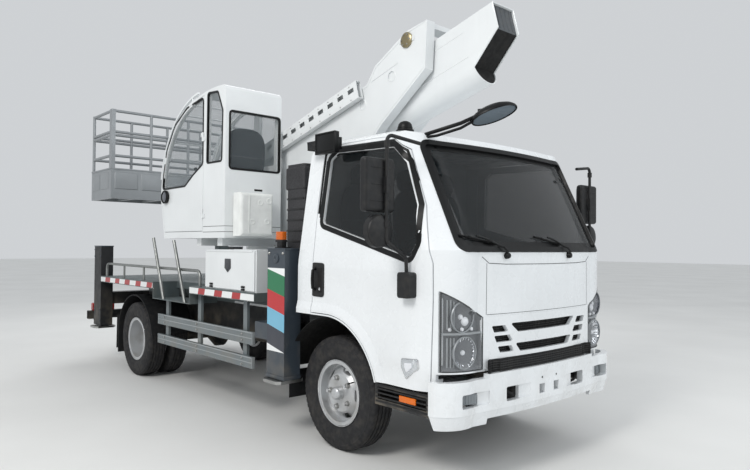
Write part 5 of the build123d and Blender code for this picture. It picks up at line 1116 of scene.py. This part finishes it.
def deck_dressing():
    """Tread pattern, reflecting tape and rivets of the deck."""
    tread, white, red, rivets = Shape(), Shape(), Shape(), Shape()
    for x0, x1, clear in TREADS:
        chequer(tread, x0, x1, clear)
    for x0, x1 in TAPES:
        white.box(x0, x1, -DECK_HALF - 0.0008, -DECK_HALF, TAPE_LOW_Z, TAPE_TOP_Z)
        for k in range(int((x1 - x0) / RIVET_PITCH) + 1):
            rivets.lathe((x0 + 0.03 + RIVET_PITCH * k, -DECK_HALF, TAPE_LOW_Z - 0.0045), -Y,
                         [(0, -0.001), (0.0048, 0), (0.0036, 0.0018), (0, 0.0024)], 12)
    for x0, x1 in REDS:
        red.rings([[(x0, y, TAPE_LOW_Z), (x1 - RED_LEAN, y, TAPE_LOW_Z), (x1, y, TAPE_TOP_Z),
                    (x0 + RED_LEAN, y, TAPE_TOP_Z)] for y in (-DECK_HALF - 0.0002, -DECK_HALF - 0.0012)])
    piece("deck_tread", tread, "truck", "deck_paint", smooth=10)
    pair("tape_white", white, "truck", "tape_white")
    pair("tape_red", red, "truck", "tape_red")
    pair("edge_rivets", rivets, "truck", "steel")


LOCK_X, LOCK_Z = 0.526, 1.230
LOCK_OUTLINE = ((-0.050, -0.025), (0, -0.060), (0.050, -0.025), (0.046, 0.052), (-0.046, 0.052))
LATCHES = ((0.242, 1.050), (0.777, 1.048))
LATCH_HALF_X, LATCH_HALF_Z, LATCH_STEP = 0.025, 0.0085, 0.011
LID_PLATE = (0.40, 0.66, -0.82, -0.58, 1.3568, 1.3600)
DRIP_EDGE = (0.112, 0.958, -0.9330, -0.9255, 1.350, 1.3585)


def toolbox_dressing():
    """Lock, latches, lid plate and drip edge of the toolbox."""
    lock, latch, plate = Shape(), Shape(), Shape()
    for scale, y0, y1 in ((1.0, -0.943, -0.951), (0.72, -0.950, -0.957)):
        lock.rings([[(LOCK_X + a * scale, y, LOCK_Z + b * scale) for a, b in LOCK_OUTLINE] for y in (y0, y1)])
    lock.disc((LOCK_X, -0.956, LOCK_Z + 0.014), -Y, 0.012, 0, 0.004, 20)
    for x, z in LATCHES:
        for rise in (-LATCH_STEP, LATCH_STEP):
            latch.panel((x, z + rise), LATCH_HALF_X, LATCH_HALF_Z, (-0.944, -0.953))
    plate.box(*LID_PLATE)
    plate.box(*DRIP_EDGE)
    piece("toolbox_lock", lock, "toolbox_door", "trim", bevel=0.002)
    piece("toolbox_latches", latch, "toolbox_door", "seal", bevel=0.002)
    piece("toolbox_plate", plate, "truck", "lift_paint", bevel=0.001)


GUARD_X0, GUARD_X1, GUARD_Y = -0.955, 0.855, -0.905
GUARD_POSTS = (-0.800, -0.110, 0.700)
GUARD_RAILS = ((0.410, 0.500), (0.600, 0.700))


def guard_details():
    """Bolts, end caps and bright edges of the side guards; the lighter strips on the rails are painted
    highlights.
    """
    bolts, edges = Shape(), Shape()
    for x in GUARD_POSTS:
        for z in (0.430, 0.480, 0.625, 0.675):
            bolt(bolts, (x, GUARD_Y, z), -Y, 0.011, 0.0085, 0.009)
    for z0, z1 in GUARD_RAILS:
        middle = (z0 + z1) / 2
        for x in (GUARD_X0, GUARD_X1):
            edges.box(x - 0.003, x + 0.003, GUARD_Y - 0.0005, -0.876, z0 - 0.0005, z1 + 0.0005)
        # lighter grey strips along the rail's top edge and middle, painted highlights
        edges.box(GUARD_X0, GUARD_X1, GUARD_Y - 0.0035, GUARD_Y + 0.0005, z1 - 0.010, z1 + 0.0008)
        edges.box(GUARD_X0, GUARD_X1, GUARD_Y - 0.0025, GUARD_Y + 0.0005, middle - 0.004, middle + 0.004)
    pair("guard_bolts", bolts, "truck", "steel", smooth=25)
    pair("guard_caps_and_highlights", edges, "truck", "grey_light", bevel=0.001)


TAIL_LENSES = (("stop", "red_lamp", 0.648, 0.736), ("turn", "amber_lamp", 0.742, 0.812),
               ("reverse", "lamp_glass", 0.818, 0.892))      # name, finish, ends across
TAIL_LENS_ROWS = ((-2.986, 1.0), (-2.994, 0.97), (-2.997, 0.86))


def tail_dressing():
    """Lamp lenses and flaps at the back."""
    for name, finish, y0, y1 in TAIL_LENSES:
        middle, half = -(y0 + y1) / 2, (y1 - y0) / 2
        lens = Shape().rings([[(x, middle + a * half * share, 0.6175 + b * 0.040 * share)
                               for a, b in CORNERS] for x, share in TAIL_LENS_ROWS])
        for z in spread(0.590, 0.6448, 4):
            lens.box(-2.9985, -2.9955, -y1 + 0.010, -y0 - 0.010, z - 0.0015, z + 0.0015)
        pair(f"tail_{name}", lens, "truck", finish, bevel=0.0015)
    flap = Shape().rings([[(x, -0.945, z), (x, -0.500, z), (x - 0.006, -0.500, z), (x - 0.006, -0.945, z)]
                          for x, z in ((-1.975, 0.60), (-1.980, 0.42), (-1.984, 0.235))])
    for y in spread(-0.90, -0.54, 3):
        flap.box(-1.993, -1.984, y - 0.006, y + 0.006, 0.245, 0.40)
    pair("rear_flap", flap, "truck", "black_plastic", bevel=0.0015)


# Stabiliser legs
COLUMN_X, COLUMN_Y = 1.340, -1.000
DECAL_X0, DECAL_X1 = 1.228, 1.452
DECALS = (("decal_green", 1.222, 1.075), ("decal_red", 1.075, 0.945), ("decal_blue", 0.945, 0.816),
          ("decal_navy", 0.816, 0.674))       # name, top and low edge at the rear
DECAL_FALL = 0.05                             # drop of each band's edge towards the front


def sticker(shape, low, low_front, top_front, top):
    """A thin sheet on the front column's face, with its edges' heights at the rear and the front."""
    return shape.rings([[(DECAL_X0, y, low), (DECAL_X1, y, low_front), (DECAL_X1, y, top_front),
                         (DECAL_X0, y, top)] for y in (COLUMN_Y - 0.0002, COLUMN_Y - 0.0012)])


def leg_decals():
    """Slanting colour bands on the front columns, with a white corner above and below."""
    for name, top, low in DECALS:
        pair(name, sticker(Shape(), low, low - DECAL_FALL, top - DECAL_FALL, top), "beam_{}", name)
    white, top, low = Shape(), DECALS[0][1], DECALS[-1][2]
    sticker(white, top, top - DECAL_FALL, top + 0.008, top + 0.008)
    sticker(white, low - 0.052, low - 0.052, low - DECAL_FALL, low)
    pair("decal_white", white, "beam_{}", "tape_white")


def leg_details():
    """Bolts, caps, collars and amber lamps of the front columns, bolts and caps of the rear ones."""
    bolts, boss, bracket, lamp, rear = Shape(), Shape(), Shape(), Shape(), Shape()
    for x in (1.250, 1.430):
        bolt(bolts, (x, COLUMN_Y, 1.338), -Y, 0.012, 0.009, 0.0095)
    boss.lathe((COLUMN_X, COLUMN_Y, 1.300), -Y, [(0, -0.001), (0.034, -0.001), (0.034, 0.006), (0.026, 0.010),
                                                (0.014, 0.010), (0.010, 0.004), (0, 0.004)], 32)
    boss.box(1.219, 1.461, -1.004, -0.856, 1.366, 1.376)
    boss.box(1.219, 1.461, -1.006, -0.856, 0.424, 0.452)
    bracket.box(1.284, 1.378, -0.977, -0.900, 1.376, 1.384)
    bracket.box(1.300, 1.362, -0.968, -0.925, 1.384, 1.424)
    bracket.box(1.286, 1.376, -0.975, -0.930, 1.420, 1.438)
    lamp.box(1.290, 1.372, -0.971, -0.934, 1.437, 1.498)
    for z in spread(1.444, 1.4875, 3):
        lamp.box(1.288, 1.374, -0.973, -0.932, z, z + 0.006)
    for x in (-2.715, -2.525):
        for z in (0.49, 0.62, 1.25, 1.33):
            bolt(rear, (x, -DECK_HALF, z), -Y, 0.012, 0.009, 0.0095)
    rear.box(-2.741, -2.499, -0.954, -0.806, 1.366, 1.378)
    pair("leg_bolts", bolts, "beam_{}", "steel", smooth=25)
    pair("leg_boss", boss, "beam_{}", "leg_paint", bevel=0.0015)
    pair("leg_lamp", lamp, "beam_{}", "amber_lamp", bevel=0.0015)
    pair("leg_lamp_bracket", bracket, "beam_{}", "black_plastic", bevel=0.001)
    pair("rear_leg_bolts", rear, "truck", "leg_paint", bevel=0.001)


# Operator cab
OPERATOR_FACE = surface("operator_cab", "operator_door")
OPERATOR_FACE_Y, OPERATOR_FRONT_X = -0.880, 0.3405
SIDE_WINDOWS = (      # name, corner radius, body, outline in side view
    ("window", 0.03, "operator_door",
     ((-0.935, 1.961), (-0.442, 1.963), (-0.271, 2.057), (-0.085, 2.140), (-0.085, 2.735),
      (-0.414, 2.690), (-0.670, 2.560), (-0.845, 2.341), (-0.922, 2.098))),
    ("quarter", 0.02, "turntable",
     ((0.008, 2.142), (0.271, 2.138), (0.281, 2.570), (0.191, 2.745), (0.014, 2.760))),
)
FRONT_WINDOW = ((-0.833, 2.070), (-0.335, 2.070), (-0.335, 2.560), (-0.833, 2.560))
TANK_BOSSES = ((-0.614, 1.766), (-0.694, 1.598), (-0.545, 1.603), (-0.526, 1.784))
TANK_X = 0.4905
CONSOLE = ((-0.62, 1.56), (-0.42, 1.56), (-0.44, 2.02), (-0.60, 1.96))
LEVER_KNOB = ((0, -0.018), (0.014, -0.014), (0.019, 0), (0.014, 0.015), (0, 0.019))


def operator_seals():
    """Black rubbers round the operator cab's windows."""
    for name, radius, body, outline in SIDE_WINDOWS:
        path = along(rounded(xz(outline, -1.2), radius, 5), 0.04)
        seal = strip(OPERATOR_FACE, grown(path, 0.008), Y, 0.017, 0.003, 0.014)
        piece(f"operator_{name}_seal", seal, body, "seal", smooth=60)
    corners = [Vector((0.7, y, z)) for y, z in FRONT_WINDOW]
    middle = sum(corners, Vector()) / 4
    path = shrunk(along(rounded(corners, 0.03, 5), 0.04), middle, 1.028)
    seal = strip(OPERATOR_FACE, path, -X, 0.019, 0.003, 0.014)
    piece("operator_front_seal", seal, "turntable", "seal", smooth=60)


def operator_details():
    """Lamp, air slot as a black patch of painted shade, and grooves of the operator cab."""
    lamp, glass, slot, lines = Shape(), Shape(), Shape(), Shape()
    lamp.lathe((-0.847, OPERATOR_FACE_Y, 1.871), -Y, [(0, -0.002), (0.060, -0.002), (0.066, 0.010),
                                                      (0.066, 0.030), (0.058, 0.036), (0.054, 0.026),
                                                      (0, 0.026)], 40)
    glass.lathe((-0.847, OPERATOR_FACE_Y - 0.026, 1.871), -Y,
                [(0, 0), (0.054, 0), (0.045, 0.006), (0.02, 0.010), (0, 0.011)], 40)
    # a thin black box on the face, painted shade of the air slot's opening
    slot.box(OPERATOR_FRONT_X, OPERATOR_FRONT_X + 0.002, -0.590, -0.507, 1.880, 1.897)
    for z in (1.512, 1.562):
        lines.box(-0.060, 0.3415, OPERATOR_FACE_Y - 0.0006, OPERATOR_FACE_Y + 0.0004, z - 0.0022, z + 0.0022)
        lines.box(0.3402, 0.3412, OPERATOR_FACE_Y - 0.0006, -0.3095, z - 0.0022, z + 0.0022)
    piece("operator_lamp", lamp, "operator_door", "seal")
    piece("operator_lamp_glass", glass, "operator_door", "smoked_reflector")
    piece("operator_slot_shade", slot, "turntable", "black_hole")
    piece("operator_grooves", lines, "turntable", "seam")


def tank_mouldings():
    """Round bosses and an upright rib on the tank beside the operator cab."""
    tank = Shape()
    for y, z in TANK_BOSSES:
        tank.lathe((TANK_X, y, z), X, [(0.030, -0.001), (0.026, 0.003), (0.016, 0.003), (0.012, -0.0005),
                                       (0.001, -0.0005)], 28)
    tank.box(TANK_X - 0.001, TANK_X + 0.004, -0.732, -0.720, 1.50, 1.83)
    piece("tank_mouldings", tank, "turntable", "white_plastic", bevel=0.002)


def operator_controls():
    """Console with three levers in front of the operator's seat."""
    console, levers = Shape(), Shape()
    console.rings([xz(CONSOLE, y) for y in (-0.80, -0.40)])
    for y in (-0.72, -0.60, -0.48):
        levers.rod((-0.52, y, 1.985), (-0.545, y, 2.13), 0.007, 12)
        levers.lathe((-0.547, y, 2.14), (-0.17, 0, 1), LEVER_KNOB, 20)
    piece("operator_console", console, "turntable", "trim", bevel=0.01)
    piece("operator_levers", levers, "turntable", "seal")


# Tower and boom
PIVOT = Vector((1.894, 0, 2.950))
DROOP = math.radians(15)
CHEEK_Y = -0.220
PINS = ((1.894, 2.950, 0.058, -0.228), (1.250, 2.105, 0.040, -0.222))      # x, z, radius, face across
CHEEK = ((-0.320, 1.388), (0.330, 1.388), (1.300, 2.030), (1.480, 2.215), (1.611, 2.347), (2.084, 2.700),
         (2.101, 3.053), (1.894, 3.022), (1.534, 2.829), (1.440, 2.700), (0.100, 2.344), (-0.230, 2.100),
         (-0.320, 1.900))
HEAD_SEAM = ((1.490, 2.708), (1.800, 2.800))
CHEEK_HOLES = ((1.727, 2.711), (1.385, 2.542))
HOLE_RIM = ((0.0375, -0.002), (0.0375, 0.003), (0.044, 0.003), (0.048, 0), (0.048, -0.002))
SLEW_BOLT_R, SLEW_BOLTS, SLEW_TOP_Z = 0.372, 24, 1.388
SLEW_START = Vector((math.cos(math.pi / SLEW_BOLTS), math.sin(math.pi / SLEW_BOLTS), 0))   # to the first bolt


def in_boom(x, y, z):
    """The place at rest of a point in the boom's own axes."""
    return PIVOT + Vector((x * math.cos(DROOP) - z * math.sin(DROOP), y,
                           x * math.sin(DROOP) + z * math.cos(DROOP)))


def pin_caps():
    """Turned caps, keepers and bolts on the ends of the boom's and cylinder's pins."""
    caps, bolts, keepers = Shape(), Shape(), Shape()
    for x, z, radius, y in PINS:
        caps.lathe((x, y, z), -Y, [(0, -0.010), (radius, -0.010), (radius, 0.004), (radius * 0.8, 0.012),
                                  (radius * 0.35, 0.013), (0, 0.011)], 36)
        for place in circle(Vector((x, y - 0.010, z)), X, Z, radius * 0.72, 6):
            bolts.disc(place, -Y, 0.006, 0, 0.006, 6)
        keepers.panel((x, z), radius + 0.02, 0.016, (CHEEK_Y + 0.0002, CHEEK_Y - 0.006))
    pair("pin_caps", caps, "turntable", "brass")
    pair("pin_bolts", bolts, "turntable", "steel", smooth=25)
    pair("pin_keepers", keepers, "turntable", "lift_paint", bevel=0.001)


def tower_details():
    """Weld beads round the cheeks' plates, the head's seam, hole rims and the slewing ring's bolts."""
    beads, rims, ring = Shape(), Shape(), Shape()
    inside = grown(xz(CHEEK, CHEEK_Y - 0.0003), -0.018)
    beads.tube(along(inside, 0.2), 0.0028, 8, closed=True)
    beads.tube(xz(HEAD_SEAM, CHEEK_Y - 0.0006), 0.0028, 8)
    for x, z in CHEEK_HOLES:
        rims.lathe((x, CHEEK_Y + 0.0005, z), -Y, HOLE_RIM, 36, ring=True)
        rims.disc((x, CHEEK_Y + 0.008, z), -Y, 0.0385, -0.002, 0, 36)
    for place in circle(Vector((0, 0, SLEW_TOP_Z)), SLEW_START, Z.cross(SLEW_START), SLEW_BOLT_R, SLEW_BOLTS):
        bolt(ring, place, Z, 0.012, 0.009, 0.012, 0.002)
    pair("tower_welds", beads, "turntable", "lift_paint")
    pair("tower_hole_rims", rims, "turntable", "lift_paint")
    piece("slew_bolts", ring, "turntable", "steel", smooth=25)


BORE_HALF, BASE_HALF = 0.1103, 0.1175         # half widths inside and outside the base section
ROUND_Z = -0.434                              # below this the sections are round
OPEN_X, CUT_X, CUT_Z = 0.712, 0.460, -0.268   # the open end's face, and where its slanting cut starts
# lower rows of the black sheet that is painted shade inside the boom's round underside
SHADE_LOW_ZS = (-0.470, -0.500, -0.522, -0.536, -0.543)
END_RIM = ((0.7255, -0.073), (0.7255, -0.265), (0.4685, ROUND_Z))
LINING_RIB = ((-0.005, 0.0), (0.005, 0.0), (0.003, 0.006), (-0.003, 0.006))


def across_bore(x, z, half):
    """A ring of a thin sheet that fills the boom's bore at one height."""
    return [in_boom(x + step, y, z) for y, step in ((-half, 0), (half, 0), (half, -0.004), (-half, -0.004))]


def boom_end():
    """Lining, a black sheet inside as painted shade, and bright edge of the boom's open end."""
    lining, dark, rim = Shape(), Shape(), Shape()
    lining.rings([across_bore(OPEN_X, z, BORE_HALF) for z in (-0.0805, CUT_Z)])
    for y in (-0.075, -0.025, 0.025, 0.075):
        lining.rings([[in_boom(OPEN_X - 0.001 + out, y + a, z) for a, out in LINING_RIB]
                      for z in (-0.095, -0.255)])
    # a black sheet across the bore, painted shade of the boom's hollow inside
    steps = [(OPEN_X - 0.002, CUT_Z), (CUT_X, ROUND_Z + 0.002)]
    steps += [(CUT_X + 0.020 * (ROUND_Z - z) / BORE_HALF, z) for z in SHADE_LOW_ZS]
    rows = [(x, z, math.sqrt(BORE_HALF ** 2 - min(0.0, z - ROUND_Z) ** 2)) for x, z in steps]
    dark.rings([across_bore(*row) for row in rows])
    for y in (-BASE_HALF, BASE_HALF):
        rim.tube([in_boom(x, y, z) for x, z in END_RIM], 0.004, 8)
    rim.tube([in_boom(0.7255, y, -0.0745) for y in (-BASE_HALF, BASE_HALF)], 0.004, 8)
    piece("boom_lining", lining, "boom_base", "lining_grey", bevel=0.001)
    piece("boom_painted_shade", dark, "boom_base", "black_hole")
    piece("boom_rim", rim, "boom_base", "lift_paint")


CREASE = ((0.0005, -0.007), (-0.003, -0.003), (-0.003, 0.003), (0.0005, 0.007))
SCREW_HEAD = ((0, -0.001), (0.006, 0), (0.0045, 0.003), (0, 0.004))
SECTIONS = (     # name, body, mouth along the boom, inset from the base section, collar's height and length
    ("base", "boom_base", -3.800, 0.0, 0.010, 0.045),
    ("mid", "boom_mid", -3.900, 0.015, 0.004, 0.012),
    ("tip", "boom_tip", -3.960, 0.030, 0.004, 0.012),
)


def section(inset):
    """A boom section's outline, (across, up), with flat sides and a round underside."""
    half, top = BASE_HALF - inset, -0.073 - inset
    arc = [(half * math.cos(t), ROUND_Z - half * math.sin(t)) for t in spread(0, math.pi, 12)[1:-1]]
    return [(half, top), (half, ROUND_Z)] + arc + [(-half, ROUND_Z), (-half, top)]


def collar(name, body, mouth, inset, high, long):
    """A collar round the mouth of a section."""
    inside, wider, outside = section(inset), 1 + high / (BASE_HALF - inset), []
    for y, z in inside:
        lift = 0 if abs(z - ROUND_Z) < 0.01 else math.copysign(high, z - ROUND_Z)
        outside.append((y * wider, z + lift))
    rows = ((inside, 0.001), (outside, 0.001), (outside, long), (inside, long))
    made = Shape().rings([[in_boom(mouth + x, y, z) for y, z in ring] for ring, x in rows], closed=True)
    piece(f"boom_collar_{name}", made, body, "lift_paint", bevel=0.001)


def collar_bolts():
    """Bolts of the wear pads on both sides of the base section's collar."""
    bolts = Shape()
    for z in spread(-0.12, -0.36, 3):
        for side in (-1, 1):
            bolts.disc(in_boom(-3.776, (BASE_HALF + 0.009) * side, z), Y * side, 0.008, 0, 0.006, 6)
    piece("boom_collar_bolts", bolts, "boom_base", "steel", smooth=25)


def boom_details():
    """The open end, side creases, collars and the cable tray's screws."""
    boom_end()
    crease, screws = Shape(), Shape()
    for z in (-0.150, -0.340):
        crease.rings([[in_boom(x, -BASE_HALF + out, z + h) for out, h in CREASE] for x in (-3.66, 0.44)])
    pair("boom_creases", crease, "boom_base", "lift_paint", smooth=50)
    base, *inner = SECTIONS
    collar(*base)
    collar_bolts()
    for row in inner:
        collar(*row)
    for x in spread(-3.10, -0.652, 17):
        for z in (-0.095, -0.208):
            screws.lathe(in_boom(x, -0.285, z), -Y, SCREW_HEAD, 10)
    piece("tray_screws", screws, "boom_base", "steel")


# Basket and duct
BASKET_IN_X, BASKET_OUT_X, BASKET_HALF = -2.225, -2.885, 0.950
BASKET_FLOOR_Z, BASKET_TOP_Z = 2.0, 2.953
RIB_Z0, RIB_Z1, RIB_RISE, RIB_DRAFT = 2.04, 2.24, 0.006, 0.008
BEAD_Z0, BEAD_Z1 = 2.268, 2.284


def pressed(place, start, end, rise):
    """Two rings of a raised field in a kick panel; place gives a point from (out, across, up)."""
    return [[place(out, a, b) for a, b in ((start + i, RIB_Z0 + i), (end - i, RIB_Z0 + i),
                                           (end - i, RIB_Z1 - i), (start + i, RIB_Z1 - i))]
            for out, i in ((0.0005, 0.0), (rise, RIB_DRAFT))]


def basket_ribs():
    """Raised fields and a top bead on the basket's four kick panels."""
    ribs = Shape()
    for side in (-1, 1):
        y = BASKET_HALF * side
        for x0, x1 in ((-2.845, -2.600), (-2.545, -2.300)):
            ribs.rings(pressed(lambda out, a, b: (a, y + side * out, b), x0, x1, RIB_RISE + 0.0005))
        ribs.box(BASKET_OUT_X, BASKET_IN_X, *sorted((y, y + side * RIB_RISE)), BEAD_Z0, BEAD_Z1)
    for x, side in ((BASKET_IN_X, 1), (BASKET_OUT_X, -1)):
        for y0 in spread(-BASKET_HALF + 0.04, -BASKET_HALF + 1.615, 5):
            ribs.rings(pressed(lambda out, a, b: (x + side * out, a, b), y0, y0 + 0.275, RIB_RISE))
        ribs.box(*sorted((x, x + side * RIB_RISE)), -BASKET_HALF, BASKET_HALF, BEAD_Z0, BEAD_Z1)
    piece("basket_ribs", ribs, "basket", "silver_paint", bevel=0.001)


def basket_details():
    """Kick-panel ribs, post caps and floor grip of the basket."""
    basket_ribs()
    caps, grip = Shape(), Shape()
    for x in (BASKET_IN_X - 0.017, BASKET_OUT_X + 0.017):
        for y in (-BASKET_HALF + 0.017, BASKET_HALF - 0.017):
            caps.lathe((x, y, BASKET_TOP_Z), Z, [(0.0001, 0.0), (0.0185, 0.0), (0.0185, 0.014),
                                                 (0.012, 0.0185), (0, 0.019)], 24)
    for y in spread(-BASKET_HALF + 0.07, -BASKET_HALF + 1.877, 13):
        grip.box(BASKET_OUT_X + 0.03, BASKET_IN_X - 0.03, y - 0.004, y + 0.004,
                 BASKET_FLOOR_Z, BASKET_FLOOR_Z + 0.0035)
    for x in spread(BASKET_OUT_X + 0.07, BASKET_OUT_X + 0.59, 4):
        grip.box(x - 0.004, x + 0.004, -BASKET_HALF + 0.03, BASKET_HALF - 0.03,
                 BASKET_FLOOR_Z, BASKET_FLOOR_Z + 0.0030)
    piece("basket_caps", caps, "basket", "silver_paint")
    piece("basket_floor_grip", grip, "basket", "galvanised", bevel=0.0008)


def duct_details():
    """Ribs of the air duct behind the cab."""
    ribs = Shape()
    for z in spread(1.10, 1.90, 10):
        ribs.box(1.240, 1.454, -0.8455, -0.8405, z, z + 0.014)
        ribs.box(1.4605, 1.4655, -0.835, -0.697, z, z + 0.014)
    piece("duct_ribs", ribs, "truck", "black_plastic", bevel=0.002)


# Stage
CAMERA_PLACE = Vector((5.2932, -3.5686, 1.394))
CAMERA_YAW, CAMERA_PITCH, CAMERA_ROLL = 2.4117, 0.018, 0.008
SENSOR_MM, FOCAL_PIXELS, PICTURE_PIXELS = 36, 635.9773, 750
STUDIO_LAMPS = (     # name, place, size, power, colour
    ("key", (3.5, -7.5, 7.0), 3.0, 400, (1, 0.98, 0.95)),
    ("fill", (8.0, 2.0, 4.5), 5.0, 110, (0.95, 0.98, 1)),
    ("back", (-6.0, 4.0, 6.0), 5.0, 140, (1, 1, 1)),
)
LAMP_AIM = Vector((0.4, 0, 1.2))
SKY_LIGHT, SKY_POWER, BACKGROUND = (0.85, 0.88, 0.91, 1), 0.78, (0.62, 0.64, 0.66, 1)
FLOOR_HALF = 60


def camera():
    """The photograph's view, solved on the wheels and the cab's edges."""
    data = bpy.data.cameras.new("camera")
    obj = bpy.data.objects.new("camera", data)
    bpy.context.collection.objects.link(obj)
    ahead_way = Vector((math.cos(CAMERA_YAW) * math.cos(CAMERA_PITCH),
                        math.sin(CAMERA_YAW) * math.cos(CAMERA_PITCH), math.sin(CAMERA_PITCH)))
    level = Vector((math.sin(CAMERA_YAW), -math.cos(CAMERA_YAW), 0))
    above = level.cross(ahead_way)
    right = math.cos(CAMERA_ROLL) * level + math.sin(CAMERA_ROLL) * above
    up = math.cos(CAMERA_ROLL) * above - math.sin(CAMERA_ROLL) * level
    turn = Matrix((right, up, -ahead_way)).transposed()
    obj.matrix_world = Matrix.Translation(CAMERA_PLACE) @ turn.to_4x4()
    data.sensor_width = SENSOR_MM
    data.lens = FOCAL_PIXELS / PICTURE_PIXELS * SENSOR_MM
    data.clip_end = 200
    bpy.context.scene.camera = obj


def soft_lamp(name, place, size, power, colour):
    """A round area lamp that looks at the truck."""
    data = bpy.data.lights.new(name, "AREA")
    data.shape = "DISK"
    data.size = size
    data.energy = power
    data.color = colour
    obj = bpy.data.objects.new(name, data)
    bpy.context.collection.objects.link(obj)
    obj.location = place
    obj.rotation_euler = (LAMP_AIM - Vector(place)).to_track_quat("-Z", "Y").to_euler()


def floor():
    """A plain pale floor."""
    mesh = bpy.data.meshes.new("floor")
    mesh.from_pydata([(a * FLOOR_HALF, b * FLOOR_HALF, 0) for a, b in CORNERS], [], [(0, 1, 2, 3)])
    obj = bpy.data.objects.new("floor", mesh)
    bpy.context.collection.objects.link(obj)
    m = Nodes("floor")
    m.link(m.ramp(m.noise(0.6, 5), rgb(222, 222, 220) + (1,), rgb(230, 230, 228) + (1,)),
           m.bsdf.inputs["Base Color"])
    m.set(Roughness=0.9)
    mesh.materials.append(m.mat)


def sky():
    """Soft light from all round, with a plain background for the camera, reflections and glass."""
    world = bpy.data.worlds.new("world")
    bpy.context.scene.world = world
    world.use_nodes = True
    tree = world.node_tree
    light = tree.nodes["Background"]
    seen, shown = tree.nodes.new("ShaderNodeBackground"), tree.nodes.new("ShaderNodeMixShader")
    rays = tree.nodes.new("ShaderNodeLightPath")
    light.inputs[0].default_value = SKY_LIGHT
    light.inputs[1].default_value = SKY_POWER
    seen.inputs[0].default_value = BACKGROUND
    share = rays.outputs["Is Camera Ray"]
    for kind in ("Is Glossy Ray", "Is Transmission Ray"):
        either = tree.nodes.new("ShaderNodeMath")
        either.operation = "MAXIMUM"
        tree.links.new(share, either.inputs[0])
        tree.links.new(rays.outputs[kind], either.inputs[1])
        share = either.outputs[0]
    tree.links.new(share, shown.inputs[0])
    tree.links.new(light.outputs[0], shown.inputs[1])
    tree.links.new(seen.outputs[0], shown.inputs[2])
    tree.links.new(shown.outputs[0], tree.nodes["World Output"].inputs["Surface"])


# Whole scene
for dress in (wheel_fittings, headlamps, grille, nose_seams, wipers, windscreen_trim, fog_lamps, window_seals,
              door_details, side_lamps, drip_rails, arch_liners, step_trim, mirrors, cross_view_mirror,
              roof_gear, seats, deck_dressing, toolbox_dressing, guard_details, tail_dressing, leg_decals,
              leg_details, operator_seals, operator_details, tank_mouldings, operator_controls, pin_caps,
              tower_details, boom_details, basket_details, duct_details):
    dress()
camera()
floor()
for row in STUDIO_LAMPS:
    soft_lamp(*row)
sky()
bpy.context.scene.view_settings.view_transform = "Standard"
